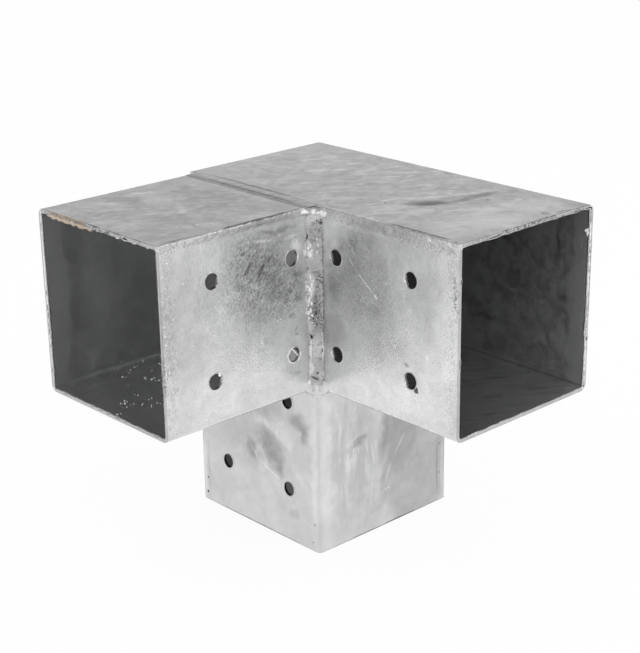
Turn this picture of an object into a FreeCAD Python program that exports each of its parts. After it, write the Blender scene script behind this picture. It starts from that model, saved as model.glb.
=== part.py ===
import FreeCAD, Part
import math
import os

import Sketcher

# Three-way pergola corner bracket: two beam sleeves and a post sleeve folded from sheet and welded together.
# Every body is drawn in the corner's frame: the inner corner of the two beam sleeves is at x = 0, y = 0 and
# their underside at z = 0. The long sleeve runs along -Y, the short sleeve along -X, the post sleeve down -Z.
# The placement then moves the bodies so that the origin is the centre of the post sleeve's bottom rim.

# Driving dimensions in millimetres
SIZES = {
    "sheet_thickness": 2,
    "fold_inside_radius": 1.8,
    "post_fold_inside_radius": 1.2,
    "sleeve_inside_width": 92,
    "sleeve_inside_height": 93,
    "short_drop": 0.5,
    "long_reach": 95,
    "short_reach": 95,
    "post_depth": 93,
    "post_extra_width": 1.5,
    "hole_diameter": 8,
    "hole_pitch": 50,
    "hole_from_corner": 15,
    "post_hole_from_top": 13,
    "plate_clearance": 0.25,
    "plate_recess": 1.5,
    "plate_weld_leg": 3,
    "plate_weld_lip": 0.4,
    "seam_root_gap": 0.5,
    "seam_proud": 0.5,
    "seam_toe": 1,
    "long_seam_band": 6,
    "short_seam_band": 4,
    "post_seam_band": 4,
    "corner_weld_leg": 6.5,
    "corner_weld_lift": 5,
    "outer_weld_width": 4,
    "outer_weld_proud": 1,
    "post_weld_leg": 4,
    "ledge_weld_rise": 1.5,
}

# A fillet weld's face bulges with this many times its leg as radius
WELD_FACE_RATIO = 1.5

# Which way a sketch on each origin plane faces along the axis it is extruded on
FACING = {"XY_Plane": 1, "XZ_Plane": -1, "YZ_Plane": 1}

doc = FreeCAD.newDocument("pergola_connector_bracket")
sheet = doc.addObject("Spreadsheet::Sheet", "sizes")
for row, (alias, number) in enumerate(SIZES.items(), start=1):
    sheet.set(f"A{row}", alias)
    sheet.set(f"B{row}", str(number))
    sheet.setAlias(f"B{row}", alias)
doc.recompute()


class Length:
    """A length with its present value and the expression that binds it to the sheet."""

    def __init__(self, value, text):
        self.value = value
        self.text = text

    def __add__(self, other):
        other = length(other)
        return Length(self.value + other.value, f"({self.text} + {other.text})")

    def __sub__(self, other):
        other = length(other)
        return Length(self.value - other.value, f"({self.text} - {other.text})")

    def __mul__(self, other):
        other = length(other)
        return Length(self.value * other.value, f"({self.text} * {other.text})")

    def __truediv__(self, other):
        other = length(other)
        return Length(self.value / other.value, f"({self.text} / {other.text})")

    def __neg__(self):
        return Length(-self.value, f"(-1 * {self.text})")


def length(number):
    """A plain number as a length, or the length itself."""
    return number if isinstance(number, Length) else Length(float(number), str(number))


def cell(alias):
    """The length in a cell of the sheet."""
    return Length(float(sheet.get(alias)), f"sizes.{alias}")


def root(area):
    """The side of a square of that area."""
    return Length(math.sqrt(area.value), f"sqrt({area.text})")


def crown_radius(run, rise):
    """Radius of an arc that leaves level from its top and comes down by rise over run."""
    return (run * run + rise * rise) / (rise * 2)


def origin_plane(body, role):
    """One of the body's own origin planes."""
    return next(plane for plane in body.Origin.OriginFeatures if plane.Role == role)


def new_sketch(body, name, role, place):
    """A sketch parallel to one of the body's origin planes, at a place along that plane's axis."""
    sketch = body.newObject("Sketcher::SketchObject", name)
    sketch.AttachmentSupport = [(origin_plane(body, role), "")]
    sketch.MapMode = "FlatFace"
    offset = place * FACING[role]
    sketch.AttachmentOffset = FreeCAD.Placement(FreeCAD.Vector(0, 0, offset.value), FreeCAD.Rotation())
    sketch.setExpression("AttachmentOffset.Base.z", offset.text)
    return sketch


def fix_point(sketch, geometry, end, across, up):
    """Hold one point of a sketch at its two distances from the sketch's origin."""
    for kind, axis, distance in (("DistanceX", -2, across), ("DistanceY", -1, up)):
        if distance.value == 0:
            sketch.addConstraint(Sketcher.Constraint("PointOnObject", geometry, end, axis))
            continue
        points = (-1, 1, geometry, end) if distance.value > 0 else (geometry, end, -1, 1)
        shown = distance if distance.value > 0 else -distance
        index = sketch.addConstraint(Sketcher.Constraint(kind, *points, shown.value))
        sketch.setExpression(f"Constraints[{index}]", shown.text)


def add_side(sketch, start, finish, radius):
    """Add a straight side, or an arc that turns left where its radius is positive and right where negative."""
    if radius is None:
        return sketch.addGeometry(Part.LineSegment(start, finish)), 1, 2
    turn = 1 if radius.value > 0 else -1
    chord = finish - start
    left = FreeCAD.Vector(-chord.y, chord.x, 0).normalize()
    reach = math.sqrt(max(radius.value ** 2 - (chord.Length / 2) ** 2, 0))
    centre = start + chord * 0.5 + left * (turn * reach)
    first, last = (start, finish) if turn > 0 else (finish, start)
    angles = [math.atan2(point.y - centre.y, point.x - centre.x) for point in (first, last)]
    circle = Part.Circle(centre, FreeCAD.Vector(0, 0, 1), abs(radius.value))
    side = sketch.addGeometry(Part.ArcOfCircle(circle, angles[0], angles[1]))
    shown = radius if turn > 0 else -radius
    index = sketch.addConstraint(Sketcher.Constraint("Radius", side, shown.value))
    sketch.setExpression(f"Constraints[{index}]", shown.text)
    return (side, 1, 2) if turn > 0 else (side, 2, 1)


def draw(sketch, corners):
    """Close an outline through corners of (across, up) or (across, up, radius of the side that follows)."""
    corners = [(length(c[0]), length(c[1]), c[2] if len(c) > 2 else None) for c in corners]
    points = [FreeCAD.Vector(across.value, up.value, 0) for across, up, radius in corners]
    sides = []
    for index, (across, up, radius) in enumerate(corners):
        following = points[(index + 1) % len(points)]
        sides.append(add_side(sketch, points[index], following, radius))
    for index, (across, up, radius) in enumerate(corners):
        side, start, finish = sides[index]
        before, before_start, before_finish = sides[index - 1]
        sketch.addConstraint(Sketcher.Constraint("Coincident", before, before_finish, side, start))
        fix_point(sketch, side, start, across, up)


def extrude(body, name, role, corners, low, high):
    """Pad an outline on one of the body's planes from low to high along that plane's axis."""
    low, high = length(low), length(high)
    sketch = new_sketch(body, f"{name}_outline", role, low if FACING[role] > 0 else high)
    draw(sketch, corners)
    pad = body.newObject("PartDesign::Pad", name)
    pad.Profile = sketch
    pad.Length = (high - low).value
    pad.setExpression("Length", (high - low).text)
    return pad


def punch(body, name, role, centres, diameter, depth):
    """Punch round holes through the wall that starts at an origin plane and lies on its positive side."""
    doc.recompute()
    solid_before = body.Shape.Volume
    sketch = new_sketch(body, f"{name}_centres", role, length(0))
    for across, up in centres:
        middle = FreeCAD.Vector(across.value, up.value, 0)
        circle = Part.Circle(middle, FreeCAD.Vector(0, 0, 1), diameter.value / 2)
        ring = sketch.addGeometry(circle)
        index = sketch.addConstraint(Sketcher.Constraint("Diameter", ring, diameter.value))
        sketch.setExpression(f"Constraints[{index}]", diameter.text)
        fix_point(sketch, ring, 3, across, up)
    pocket = body.newObject("PartDesign::Pocket", name)
    pocket.Profile = sketch
    pocket.Length = depth.value
    pocket.setExpression("Length", depth.text)
    pocket.Reversed = FACING[role] > 0
    doc.recompute()
    removed = solid_before - body.Shape.Volume
    expected = len(centres) * math.pi * (diameter.value / 2) ** 2 * depth.value
    if abs(removed - expected) > expected / 1000:
        raise RuntimeError(f"{name}: holes removed {removed:.2f} mm3 instead of {expected:.2f}")


# Named sizes that the outlines share
sheet_thickness = cell("sheet_thickness")
fold_inside = cell("fold_inside_radius")
fold_outside = fold_inside + sheet_thickness
post_fold_outside = cell("post_fold_inside_radius") + sheet_thickness
sleeve_width = cell("sleeve_inside_width") + sheet_thickness * 2
long_height = cell("sleeve_inside_height") + sheet_thickness * 2
short_height = long_height - cell("short_drop")
post_width = sleeve_width + cell("post_extra_width")
long_reach = cell("long_reach")
short_reach = cell("short_reach")
post_depth = cell("post_depth")
hole_diameter = cell("hole_diameter")
hole_pitch = cell("hole_pitch")
hole_from_corner = cell("hole_from_corner")
post_hole_from_top = cell("post_hole_from_top")
plate_face = sleeve_width - cell("plate_recess")
seam_root = sheet_thickness + cell("seam_root_gap")
seam_proud = cell("seam_proud")
seam_top = sheet_thickness + cell("seam_toe")
corner_leg = cell("corner_weld_leg")
post_leg = cell("post_weld_leg")


def new_body(name):
    """A body in the corner's frame, placed so that the post sleeve's bottom rim is centred on the origin."""
    body = doc.addObject("PartDesign::Body", name)
    body.Label = name
    half_post = post_width / 2
    corner = (-half_post, -half_post, post_depth)
    body.Placement = FreeCAD.Placement(FreeCAD.Vector(*(c.value for c in corner)), FreeCAD.Rotation())
    for axis, shift in zip("xyz", corner):
        body.setExpression(f"Placement.Base.{axis}", shift.text)
    return body


def folded_section(width, height, inside):
    """A sheet folded three times into a box whose open corner is at the upper left, ready for its seam weld."""
    wall = sheet_thickness
    outside = inside + wall
    edge = height - seam_root
    return [
        (0, edge),
        (0, outside, outside),
        (outside, 0),
        (width - outside, 0, outside),
        (width, outside),
        (width, height - outside, outside),
        (width - outside, height),
        (wall, height),
        (wall, height - wall),
        (width - outside, height - wall, -inside),
        (width - wall, height - outside),
        (width - wall, outside, -inside),
        (width - outside, wall),
        (outside, wall, -inside),
        (wall, outside),
        (wall, edge),
    ]


def seam_root_section(height):
    """Weld metal that fills the open corner of a folded sleeve."""
    return [
        (0, height - seam_root),
        (sheet_thickness, height - seam_root),
        (sheet_thickness, height),
        (0, height),
    ]


def seam_crown_section(height, band):
    """Weld metal proud of the corner: down the wall by the band and over the top as far as its toe."""
    return [
        (0, height - band),
        (0, height),
        (seam_top, height, crown_radius(seam_top, seam_proud)),
        (0, height + seam_proud, seam_proud),
        (-seam_proud, height, crown_radius(band, seam_proud)),
    ]


def fillet_section(leg):
    """Weld metal in the corner left of and below the origin, with a bulging face."""
    return [
        (0, 0),
        (-leg, 0, leg * WELD_FACE_RATIO),
        (0, -leg),
    ]


def rectangle(inset):
    """The long sleeve's section drawn in by an inset from its outer faces."""
    return [
        (inset, inset),
        (sleeve_width - inset, inset),
        (sleeve_width - inset, long_height - inset),
        (inset, long_height - inset),
    ]


def rounded_rectangle(inset, radius):
    """The same with rounded corners."""
    near = inset + radius
    return [
        (near, inset),
        (sleeve_width - near, inset, radius),
        (sleeve_width - inset, near),
        (sleeve_width - inset, long_height - near, radius),
        (sleeve_width - near, long_height - inset),
        (near, long_height - inset, radius),
        (inset, long_height - near),
        (inset, near, radius),
    ]


def mirrored(corners, width):
    """The same outline seen from its other side, walked the other way round."""
    turned = []
    for index in reversed(range(len(corners))):
        across, up = corners[index][:2]
        side_before = corners[index - 1]
        radius = side_before[2] if len(side_before) > 2 else None
        turned.append((width - across, up, radius))
    return turned


def holes(nearest, middle):
    """Centres of the square of four holes: the nearest row from the corner, and the middle across the sleeve."""
    half_pitch = hole_pitch / 2
    rows = (-nearest, -nearest - hole_pitch)
    return [(along, across) for along in rows for across in (middle - half_pitch, middle + half_pitch)]


# Beam sleeve that runs through the corner, open at the front
long_sleeve = new_body("long_sleeve")
extrude(long_sleeve, "long_fold", "XZ_Plane", folded_section(sleeve_width, long_height, fold_inside),
        -long_reach, sleeve_width)
punch(long_sleeve, "long_holes", "YZ_Plane", holes(hole_from_corner, long_height / 2),
      hole_diameter, sheet_thickness)

# Beam sleeve that butts against the long one
short_sleeve = new_body("short_sleeve")
extrude(short_sleeve, "short_fold", "YZ_Plane", folded_section(sleeve_width, short_height, fold_inside),
        -short_reach, 0)
punch(short_sleeve, "short_holes", "XZ_Plane", holes(hole_from_corner, short_height / 2),
      hole_diameter, sheet_thickness)

# Post sleeve under the corner, its seam at the hidden back corner
post_sleeve = new_body("post_sleeve")
post_section = folded_section(post_width, post_width, cell("post_fold_inside_radius"))
extrude(post_sleeve, "post_fold", "XY_Plane", mirrored(post_section, post_width), -post_depth, 0)
post_holes = [(across, up) for up, across in holes(post_hole_from_top, post_width / 2)]
punch(post_sleeve, "post_holes", "YZ_Plane", post_holes, hole_diameter, sheet_thickness)

# Plate that closes the long sleeve's back end, set in from its edges
end_plate = new_body("end_plate")
plate_margin = sheet_thickness + cell("plate_clearance")
extrude(end_plate, "plate", "XZ_Plane", rounded_rectangle(plate_margin, fold_inside),
        plate_face - sheet_thickness, plate_face)

# Fillet weld round that plate, thin at the sleeve's end and wide at the plate
end_plate_weld = new_body("end_plate_weld")
extrude(end_plate_weld, "plate_bead", "XZ_Plane", rounded_rectangle(sheet_thickness, fold_inside),
        plate_face, sleeve_width)
bead_mouth = new_sketch(end_plate_weld, "bead_mouth", "XZ_Plane", sleeve_width)
draw(bead_mouth, rectangle(sheet_thickness + cell("plate_weld_lip")))
bead_foot = new_sketch(end_plate_weld, "bead_foot", "XZ_Plane", plate_face)
draw(bead_foot, rectangle(sheet_thickness + cell("plate_weld_leg")))
bead_hollow = end_plate_weld.newObject("PartDesign::SubtractiveLoft", "bead_hollow")
bead_hollow.Profile = bead_mouth
bead_hollow.Sections = [bead_foot]
bead_hollow.Ruled = True

# Seam weld along the long sleeve's upper inner edge, its crown ending at the corner weld
long_seam_weld = new_body("long_seam_weld")
extrude(long_seam_weld, "long_seam_root", "XZ_Plane", seam_root_section(long_height), -long_reach, 0)
extrude(long_seam_weld, "long_seam_crown", "XZ_Plane",
        seam_crown_section(long_height, cell("long_seam_band")), -long_reach, -corner_leg)

# Seam weld along the short sleeve's upper inner edge
short_seam_weld = new_body("short_seam_weld")
extrude(short_seam_weld, "short_seam_root", "YZ_Plane", seam_root_section(short_height), -short_reach, 0)
extrude(short_seam_weld, "short_seam_crown", "YZ_Plane",
        seam_crown_section(short_height, cell("short_seam_band")), -short_reach, -corner_leg)

# Seam weld down the post sleeve's back corner
post_seam_weld = new_body("post_seam_weld")
extrude(post_seam_weld, "post_seam_root", "XY_Plane",
        mirrored(seam_root_section(post_width), post_width), -post_depth, 0)
extrude(post_seam_weld, "post_seam_crown", "XY_Plane",
        mirrored(seam_crown_section(post_width, cell("post_seam_band")), post_width), -post_depth, 0)

# Weld over the joint of the two tops, which also fills the long sleeve's seam there
top_joint_weld = new_body("top_joint_weld")
extrude(top_joint_weld, "top_joint_root", "XZ_Plane", seam_root_section(long_height), 0, sleeve_width)
crown_height = long_height + seam_proud
top_joint_section = [
    (-corner_leg, short_height),
    (0, short_height),
    (0, long_height),
    (seam_top, long_height, crown_radius(seam_top, seam_proud)),
    (0, crown_height, crown_radius(corner_leg, crown_height - short_height)),
]
extrude(top_joint_weld, "top_joint_crown", "XZ_Plane", top_joint_section, 0, sleeve_width - fold_outside)

# Upright fillet weld in the inner corner
inner_corner_weld = new_body("inner_corner_weld")
extrude(inner_corner_weld, "inner_corner_bead", "XY_Plane", fillet_section(corner_leg),
        cell("corner_weld_lift"), short_height)

# Upright bead over the joint of the two outer faces
outer_joint_weld = new_body("outer_joint_weld")
outer_bead_half = (cell("outer_weld_width") + sheet_thickness) / 2
outer_bead_section = [
    (-cell("outer_weld_width"), sleeve_width),
    (sheet_thickness, sleeve_width, crown_radius(outer_bead_half, cell("outer_weld_proud"))),
]
extrude(outer_joint_weld, "outer_joint_bead", "XY_Plane", outer_bead_section,
        fold_outside, short_height - fold_outside)

# Weld between the short sleeve's floor and the long sleeve's lower bend, over the post sleeve's wall
underside_joint_weld = new_body("underside_joint_weld")
bend_gap = fold_outside - root(fold_outside * fold_outside - fold_inside * fold_inside)
underside_section = [
    (0, 0),
    (sheet_thickness, 0),
    (sheet_thickness, bend_gap, -fold_outside),
    (bend_gap, sheet_thickness),
    (0, sheet_thickness),
]
extrude(underside_joint_weld, "underside_bead", "XZ_Plane", underside_section,
        fold_outside, sleeve_width - fold_outside)

# Fillet welds between the post sleeve and the undersides of the two beam sleeves
post_bead_start = post_fold_outside
post_bead_end = sleeve_width - post_fold_outside
post_short_weld = new_body("post_short_weld")
extrude(post_short_weld, "post_short_bead", "XZ_Plane", fillet_section(post_leg), post_bead_start, post_bead_end)
post_long_weld = new_body("post_long_weld")
extrude(post_long_weld, "post_long_bead", "YZ_Plane", fillet_section(post_leg), post_bead_start, post_bead_end)

# Weld on the ledge of the post sleeve beside the long sleeve's outer wall and bend
post_outer_weld = new_body("post_outer_weld")
bend_middle = fold_outside * (1 - math.sqrt(0.5))
ledge_height = fold_outside + cell("ledge_weld_rise")
ledge_section = [
    (sleeve_width - bend_middle, 0),
    (post_width, 0, ledge_height * WELD_FACE_RATIO),
    (sleeve_width, ledge_height),
    (sleeve_width, fold_outside, -fold_outside),
    (sleeve_width - bend_middle, bend_middle),
]
extrude(post_outer_weld, "post_outer_bead", "XZ_Plane", ledge_section, post_bead_start, post_bead_end)

# Weld on the same ledge against the cut end of the long sleeve's floor
post_end_weld = new_body("post_end_weld")
end_ledge_section = [
    (sleeve_width, 0),
    (post_width, 0, sheet_thickness * WELD_FACE_RATIO),
    (sleeve_width, sheet_thickness),
]
extrude(post_end_weld, "post_end_bead", "YZ_Plane", end_ledge_section, post_bead_start, post_bead_end)

# Recompute, test every object and write one file for each piece
doc.recompute()
for item in doc.Objects:
    if "Invalid" in item.State or "Error" in item.State:
        raise RuntimeError(f"{item.Label}: {item.State}")
os.makedirs("parts", exist_ok=True)
for body in doc.findObjects("PartDesign::Body"):
    shape = body.Shape
    if shape.isNull() or not shape.isValid() or len(shape.Solids) != 1:
        raise RuntimeError(f"{body.Label}: not one valid solid")
    shape.exportStep(f"parts/{body.Label}.step")
    print(f"{body.Label}: {shape.Volume:.1f} mm3")
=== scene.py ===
"""The looks of a hot-dip galvanised pergola connector bracket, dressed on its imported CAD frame."""

import logging
import math
from dataclasses import dataclass
from enum import Enum
from typing import Any, Sequence

import bmesh
import bpy
from mathutils import Matrix, Vector


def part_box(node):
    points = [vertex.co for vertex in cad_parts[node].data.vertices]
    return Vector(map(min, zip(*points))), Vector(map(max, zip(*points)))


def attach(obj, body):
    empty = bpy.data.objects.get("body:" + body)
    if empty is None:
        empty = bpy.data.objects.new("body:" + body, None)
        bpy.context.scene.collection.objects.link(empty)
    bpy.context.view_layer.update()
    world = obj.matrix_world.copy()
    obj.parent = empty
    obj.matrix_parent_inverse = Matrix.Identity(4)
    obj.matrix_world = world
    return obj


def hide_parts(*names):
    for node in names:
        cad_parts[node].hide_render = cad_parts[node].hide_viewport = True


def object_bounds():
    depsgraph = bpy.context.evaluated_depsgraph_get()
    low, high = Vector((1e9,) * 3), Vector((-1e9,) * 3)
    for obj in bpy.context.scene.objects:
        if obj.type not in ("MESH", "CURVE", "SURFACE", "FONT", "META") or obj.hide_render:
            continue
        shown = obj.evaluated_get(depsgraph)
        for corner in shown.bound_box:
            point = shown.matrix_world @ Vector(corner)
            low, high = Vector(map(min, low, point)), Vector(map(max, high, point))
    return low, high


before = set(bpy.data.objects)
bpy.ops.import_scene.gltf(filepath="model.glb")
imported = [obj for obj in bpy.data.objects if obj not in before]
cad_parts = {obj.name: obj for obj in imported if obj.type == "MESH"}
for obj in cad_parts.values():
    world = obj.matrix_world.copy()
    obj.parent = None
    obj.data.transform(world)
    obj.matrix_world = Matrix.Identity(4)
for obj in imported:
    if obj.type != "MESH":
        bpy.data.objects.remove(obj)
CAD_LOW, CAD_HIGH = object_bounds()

log = logging.getLogger("pergola_bracket")

BODY = "root"
MM = 0.001
PER_MM = 1000.0
SQUARE_CM_PER_SQUARE_M = 10000.0
GAMMA = 2.2
IMAGE_WIDTH = 640
IMAGE_HEIGHT = 653
SENSOR_WIDTH = 36.0

# The inner corner, where both sleeves' inner walls meet the post's top, measured from the frame.
CORNER = Vector((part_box("long_sleeve")[0].x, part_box("short_sleeve")[0].y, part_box("long_sleeve")[0].z))
SHEET = 2.0
LONG_HEIGHT = (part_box("long_sleeve")[1].z - CORNER.z) * PER_MM
SHORT_HEIGHT = (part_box("short_sleeve")[1].z - CORNER.z) * PER_MM
SLEEVE_WIDTH = (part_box("long_sleeve")[1].x - CORNER.x) * PER_MM
MOUTH = (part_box("long_sleeve")[0].y - CORNER.y) * PER_MM
PLATE_FACE = (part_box("end_plate")[0].y - CORNER.y) * PER_MM

Socket = bpy.types.NodeSocket
Node = bpy.types.Node
Tree = bpy.types.NodeTree
Material = bpy.types.Material
Piece = bpy.types.Object
Mesh = bmesh.types.BMesh
Place = tuple[float, float, float]
Pair = tuple[float, float]
Places = tuple[tuple[Place, Place], ...]


class Slot(Enum):
    """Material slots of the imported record."""

    SHEET = "galvanised_sheet"
    WELD = "galvanised_weld"


class Axis(Enum):
    """The three directions of the frame."""

    X = 0
    Y = 1
    Z = 2

    @property
    def unit(self) -> Vector:
        """The axis as a unit vector."""
        return Matrix.Identity(3)[self.value]


ORIGIN, ALONG_X, ALONG_Y, UP = (0, 0, 0), (1, 0, 0), (0, 1, 0), (0, 0, 1)
SLANT = 0.7071
FOLD_INSET = 1.1


class Wall(Enum):
    """Faces that carry marks: a point in millimetres from the inner corner, two directions, half depth."""

    SHORT_SIDE = (ORIGIN, ALONG_X, UP, 1.2)
    LONG_SIDE = (ORIGIN, ALONG_Y, UP, 1.2)
    LONG_TOP = ((0, 0, LONG_HEIGHT), ALONG_X, ALONG_Y, 1.2)
    SHORT_TOP = ((0, 0, SHORT_HEIGHT), ALONG_X, ALONG_Y, 1.2)
    SHORT_EDGE = ((0, FOLD_INSET, SHORT_HEIGHT - FOLD_INSET), ALONG_X, (0, SLANT, SLANT), 1.6)
    LONG_EDGE = ((FOLD_INSET, 0, LONG_HEIGHT - FOLD_INSET), ALONG_Y, (SLANT, 0, SLANT), 1.6)
    SHORT_INSIDE = ((0, SLEEVE_WIDTH - SHEET, 0), ALONG_X, UP, 1.2)
    LONG_INSIDE = ((SLEEVE_WIDTH - SHEET, 0, 0), ALONG_Y, UP, 1.2)
    FLOOR_INSIDE = ((0, 0, SHEET), ALONG_X, ALONG_Y, 1.2)
    BACK_INSIDE = ((0, PLATE_FACE, 0), ALONG_X, UP, 0.8)
    SHORT_MOUTH = ((MOUTH, 0, 0), ALONG_Y, UP, 1.5)
    LONG_MOUTH = ((0, MOUTH, 0), ALONG_X, UP, 1.5)
    CORNER_WELD = ((-3, -3, 0), (SLANT, -SLANT, 0), UP, 5)

    @property
    def directions(self) -> tuple[Vector, Vector, Vector]:
        """The wall's two directions and its normal, as unit vectors."""
        first, second = Vector(self.value[1]), Vector(self.value[2])
        return first, second, first.cross(second)

    @property
    def half_depth(self) -> float:
        """How far off the wall a mark still shows, in metres."""
        return self.value[3] * MM

    def point(self, first: float, second: float) -> Vector:
        """A point of the wall in the row frame.

        Args:
            first: Millimetres from the inner corner along the first direction.
            second: Millimetres along the second direction.

        Returns:
            The point in metres.
        """
        along, up, _ = self.directions
        return CORNER + (Vector(self.value[0]) + along * first + up * second) * MM


class MarkKind(Enum):
    """How a mark shows on the zinc."""

    CLOUD = "cloud"
    SPECKLE = "speckle"
    STROKE = "stroke"
    PEBBLE = "pebble"
    RUNS = "runs"
    CRUST = "crust"
    WIPES = "wipes"
    MATTE = "matte"


@dataclass(frozen=True)
class Mark:
    """One oval mark on a wall, in millimetres from the inner corner; tone is darker below zero; some are
    painted light and shade.
    """

    wall: Wall
    centre: Pair
    reach: Pair
    tone: float
    kind: MarkKind = MarkKind.CLOUD
    turn: float = 0.0
    softness: float = 0.8


LINE_SOFTNESS = 0.6


def ovals(wall: Wall, kind: MarkKind, rows: Sequence[Sequence[float]]) -> tuple[Mark, ...]:
    """Oval marks of one kind on one wall.

    Args:
        wall: The wall that carries them.
        kind: How they show on the zinc.
        rows: Centre, half sizes and tone of each, and where needed its turn and softness.

    Returns:
        The marks.
    """
    return tuple(Mark(wall, row[:2], row[2:4], row[4], kind, *row[5:]) for row in rows)


def lines(wall: Wall, rows: Sequence[Sequence[float]]) -> tuple[Mark, ...]:
    """Thin straight marks on one wall.

    Args:
        wall: The wall that carries them.
        rows: Both ends, full width and tone of each.

    Returns:
        The marks.
    """
    marks = []
    for x0, y0, x1, y1, width, tone in rows:
        across, up = x1 - x0, y1 - y0
        centre, reach = ((x0 + x1) / 2, (y0 + y1) / 2), (math.hypot(across, up) / 2, width / 2)
        turn = math.degrees(math.atan2(up, across))
        marks.append(Mark(wall, centre, reach, tone, MarkKind.STROKE, turn, LINE_SOFTNESS))
    return tuple(marks)


class Plan:
    """A node tree with short calls for the nodes that this script uses."""

    def __init__(self, tree: Tree) -> None:
        """Keeps the tree that the calls add to."""
        self.tree = tree

    def feed(self, socket: Socket, value: Any) -> None:
        """Links a socket to another one, or sets its value."""
        if isinstance(value, Socket):
            self.tree.links.new(value, socket)
        else:
            socket.default_value = value

    def node(self, kind: str, inputs: dict[Any, Any] | None = None, **settings: Any) -> Node:
        """Adds a node.

        Args:
            kind: Blender's name for the node type.
            inputs: Values or sockets by the input's name or number.
            settings: The node's own properties.

        Returns:
            The node.
        """
        made = self.tree.nodes.new(kind)
        for name, value in settings.items():
            setattr(made, name, value)
        for key, value in (inputs or {}).items():
            self.feed(made.inputs[key], value)
        return made

    def math(self, operation: str, *values: Any) -> Socket:
        """The result of a Math node on up to three values."""
        return self.node("ShaderNodeMath", dict(enumerate(values)), operation=operation).outputs[0]

    def add_scaled(self, value: Any, factor: Any, base: Any) -> Socket:
        """A value times a factor, added to a base."""
        return self.math("MULTIPLY_ADD", value, factor, base)

    def centred(self, value: Any) -> Socket:
        """A value between 0 and 1 as one around 0."""
        return self.math("SUBTRACT", value, 0.5)

    def vector(self, operation: str, *values: Any) -> Socket:
        """The vector that a Vector Math node gives."""
        return self.node("ShaderNodeVectorMath", dict(enumerate(values)), operation=operation).outputs[0]

    def scaled(self, vector: Socket, factor: Any) -> Socket:
        """A vector times a number."""
        return self.node("ShaderNodeVectorMath", {0: vector, "Scale": factor}, operation="SCALE").outputs[0]

    def measure(self, operation: str, *values: Any) -> Socket:
        """The number that a Vector Math node such as DOT_PRODUCT gives."""
        made = self.node("ShaderNodeVectorMath", dict(enumerate(values)), operation=operation)
        return made.outputs["Value"]

    def ramp(self, value: Any, start: Any, end: Any, low: Any = 0.0, high: Any = 1.0) -> Socket:
        """A smooth step from low at start to high at end."""
        steps = dict(enumerate((value, start, end, low, high)))
        return self.node("ShaderNodeMapRange", steps, interpolation_type="SMOOTHSTEP").outputs[0]

    def noise(self, position: Any, scale: Any, detail: float = 2.0, distortion: float = 0.0) -> Node:
        """A noise texture node; its first output is the value and its second the colour."""
        inputs = {"Vector": position, "Scale": scale, "Detail": detail, "Distortion": distortion}
        return self.node("ShaderNodeTexNoise", inputs)

    def circle(self, sides: int, radius: Any) -> Socket:
        """A round curve of so many sides."""
        sizes = {"Resolution": sides, "Radius": radius}
        return self.node("GeometryNodeCurvePrimitiveCircle", sizes).outputs[0]

    def lumps(self, place: Socket, size: Socket, per_size: float = 1.0) -> Socket:
        """Noise around 0 with lumps of a size, or with several lumps to that size."""
        return self.centred(self.noise(place, self.math("DIVIDE", per_size, size)).outputs[0])

    def roughened(self, geometry: Socket, size: Socket, height: Socket, per_size: float = 1.0) -> Socket:
        """Pushes a geometry along its normals by lumps.

        Args:
            geometry: The geometry.
            size: The lumps' size.
            height: How far they stand out.
            per_size: How many lumps go into that size.

        Returns:
            The lumpy geometry.
        """
        place = self.node("GeometryNodeInputPosition").outputs[0]
        push = self.math("MULTIPLY", self.lumps(place, size, per_size), height)
        offset = self.scaled(self.node("GeometryNodeInputNormal").outputs[0], push)
        return self.node("GeometryNodeSetPosition", {"Geometry": geometry, "Offset": offset}).outputs[0]

    def group(self, tree: Tree, **inputs: Any) -> Node:
        """Places a shader node group, with inputs by name and underscores for spaces."""
        made = self.node("ShaderNodeGroup", node_tree=tree)
        for name, value in inputs.items():
            self.feed(made.inputs[name.replace("_", " ")], value)
        return made


def new_group(
    name: str, kind: str, inputs: dict[str, str], outputs: dict[str, str]
) -> tuple[Plan, Node, Node]:
    """Starts a node group with named sockets.

    Args:
        name: The group's name.
        kind: ShaderNodeTree or GeometryNodeTree.
        inputs: Socket types by name.
        outputs: Socket types by name.

    Returns:
        The group's plan, its input node and its output node.
    """
    tree = bpy.data.node_groups.new(name, kind)
    for direction, sockets in (("INPUT", inputs), ("OUTPUT", outputs)):
        for socket, socket_type in sockets.items():
            tree.interface.new_socket(socket, in_out=direction, socket_type=socket_type)
    plan = Plan(tree)
    return plan, plan.node("NodeGroupInput"), plan.node("NodeGroupOutput")


FLOAT = "NodeSocketFloat"
VECTOR = "NodeSocketVector"
INTEGER = "NodeSocketInt"
GEOMETRY = "NodeSocketGeometry"
MATERIAL = "NodeSocketMaterial"

RAGGED_WANDER = 9.0 * MM
STRAIGHT_WANDER = 1.5 * MM
DARKEST_TONE = 0.02
LIGHTEST_TONE = 0.98
MERGE_DISTANCE = 0.001 * MM
FLAT_ANGLE = math.radians(0.5)
RIPPLE_WANDER = 1.5
RIM_STEPS = 40
RIM_SIDES = 8
TUBE_SIDES = 9
GRIT_PER_SWELL = 2.5
PIMPLE_DETAIL = 2
MOUTH_INSET = 1.7
MOUTH_DEPTH = 0.7
SPECKLE_STEP = (0.44, 0.6)
PATCHY_RUNS = (0.35, 0.65, 0.3, 2.0)
PIT_NOISE = (0.55, 3.0, 1.0)
PIT_STEP = (0.52, 0.68)
# Depths at which the painted shade on bolt-hole walls and the painted light inside a sleeve begin.
BORE_SHADE_STEP = (0.2 * SHEET, 0.4 * SHEET)
INSIDE_STEP = (0.8 * SHEET, 0.95 * SHEET)
RIM_STEP = (0.2 * MM, 0.4 * MM)
SWELL_STEP = (0.4, 0.75)


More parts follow.
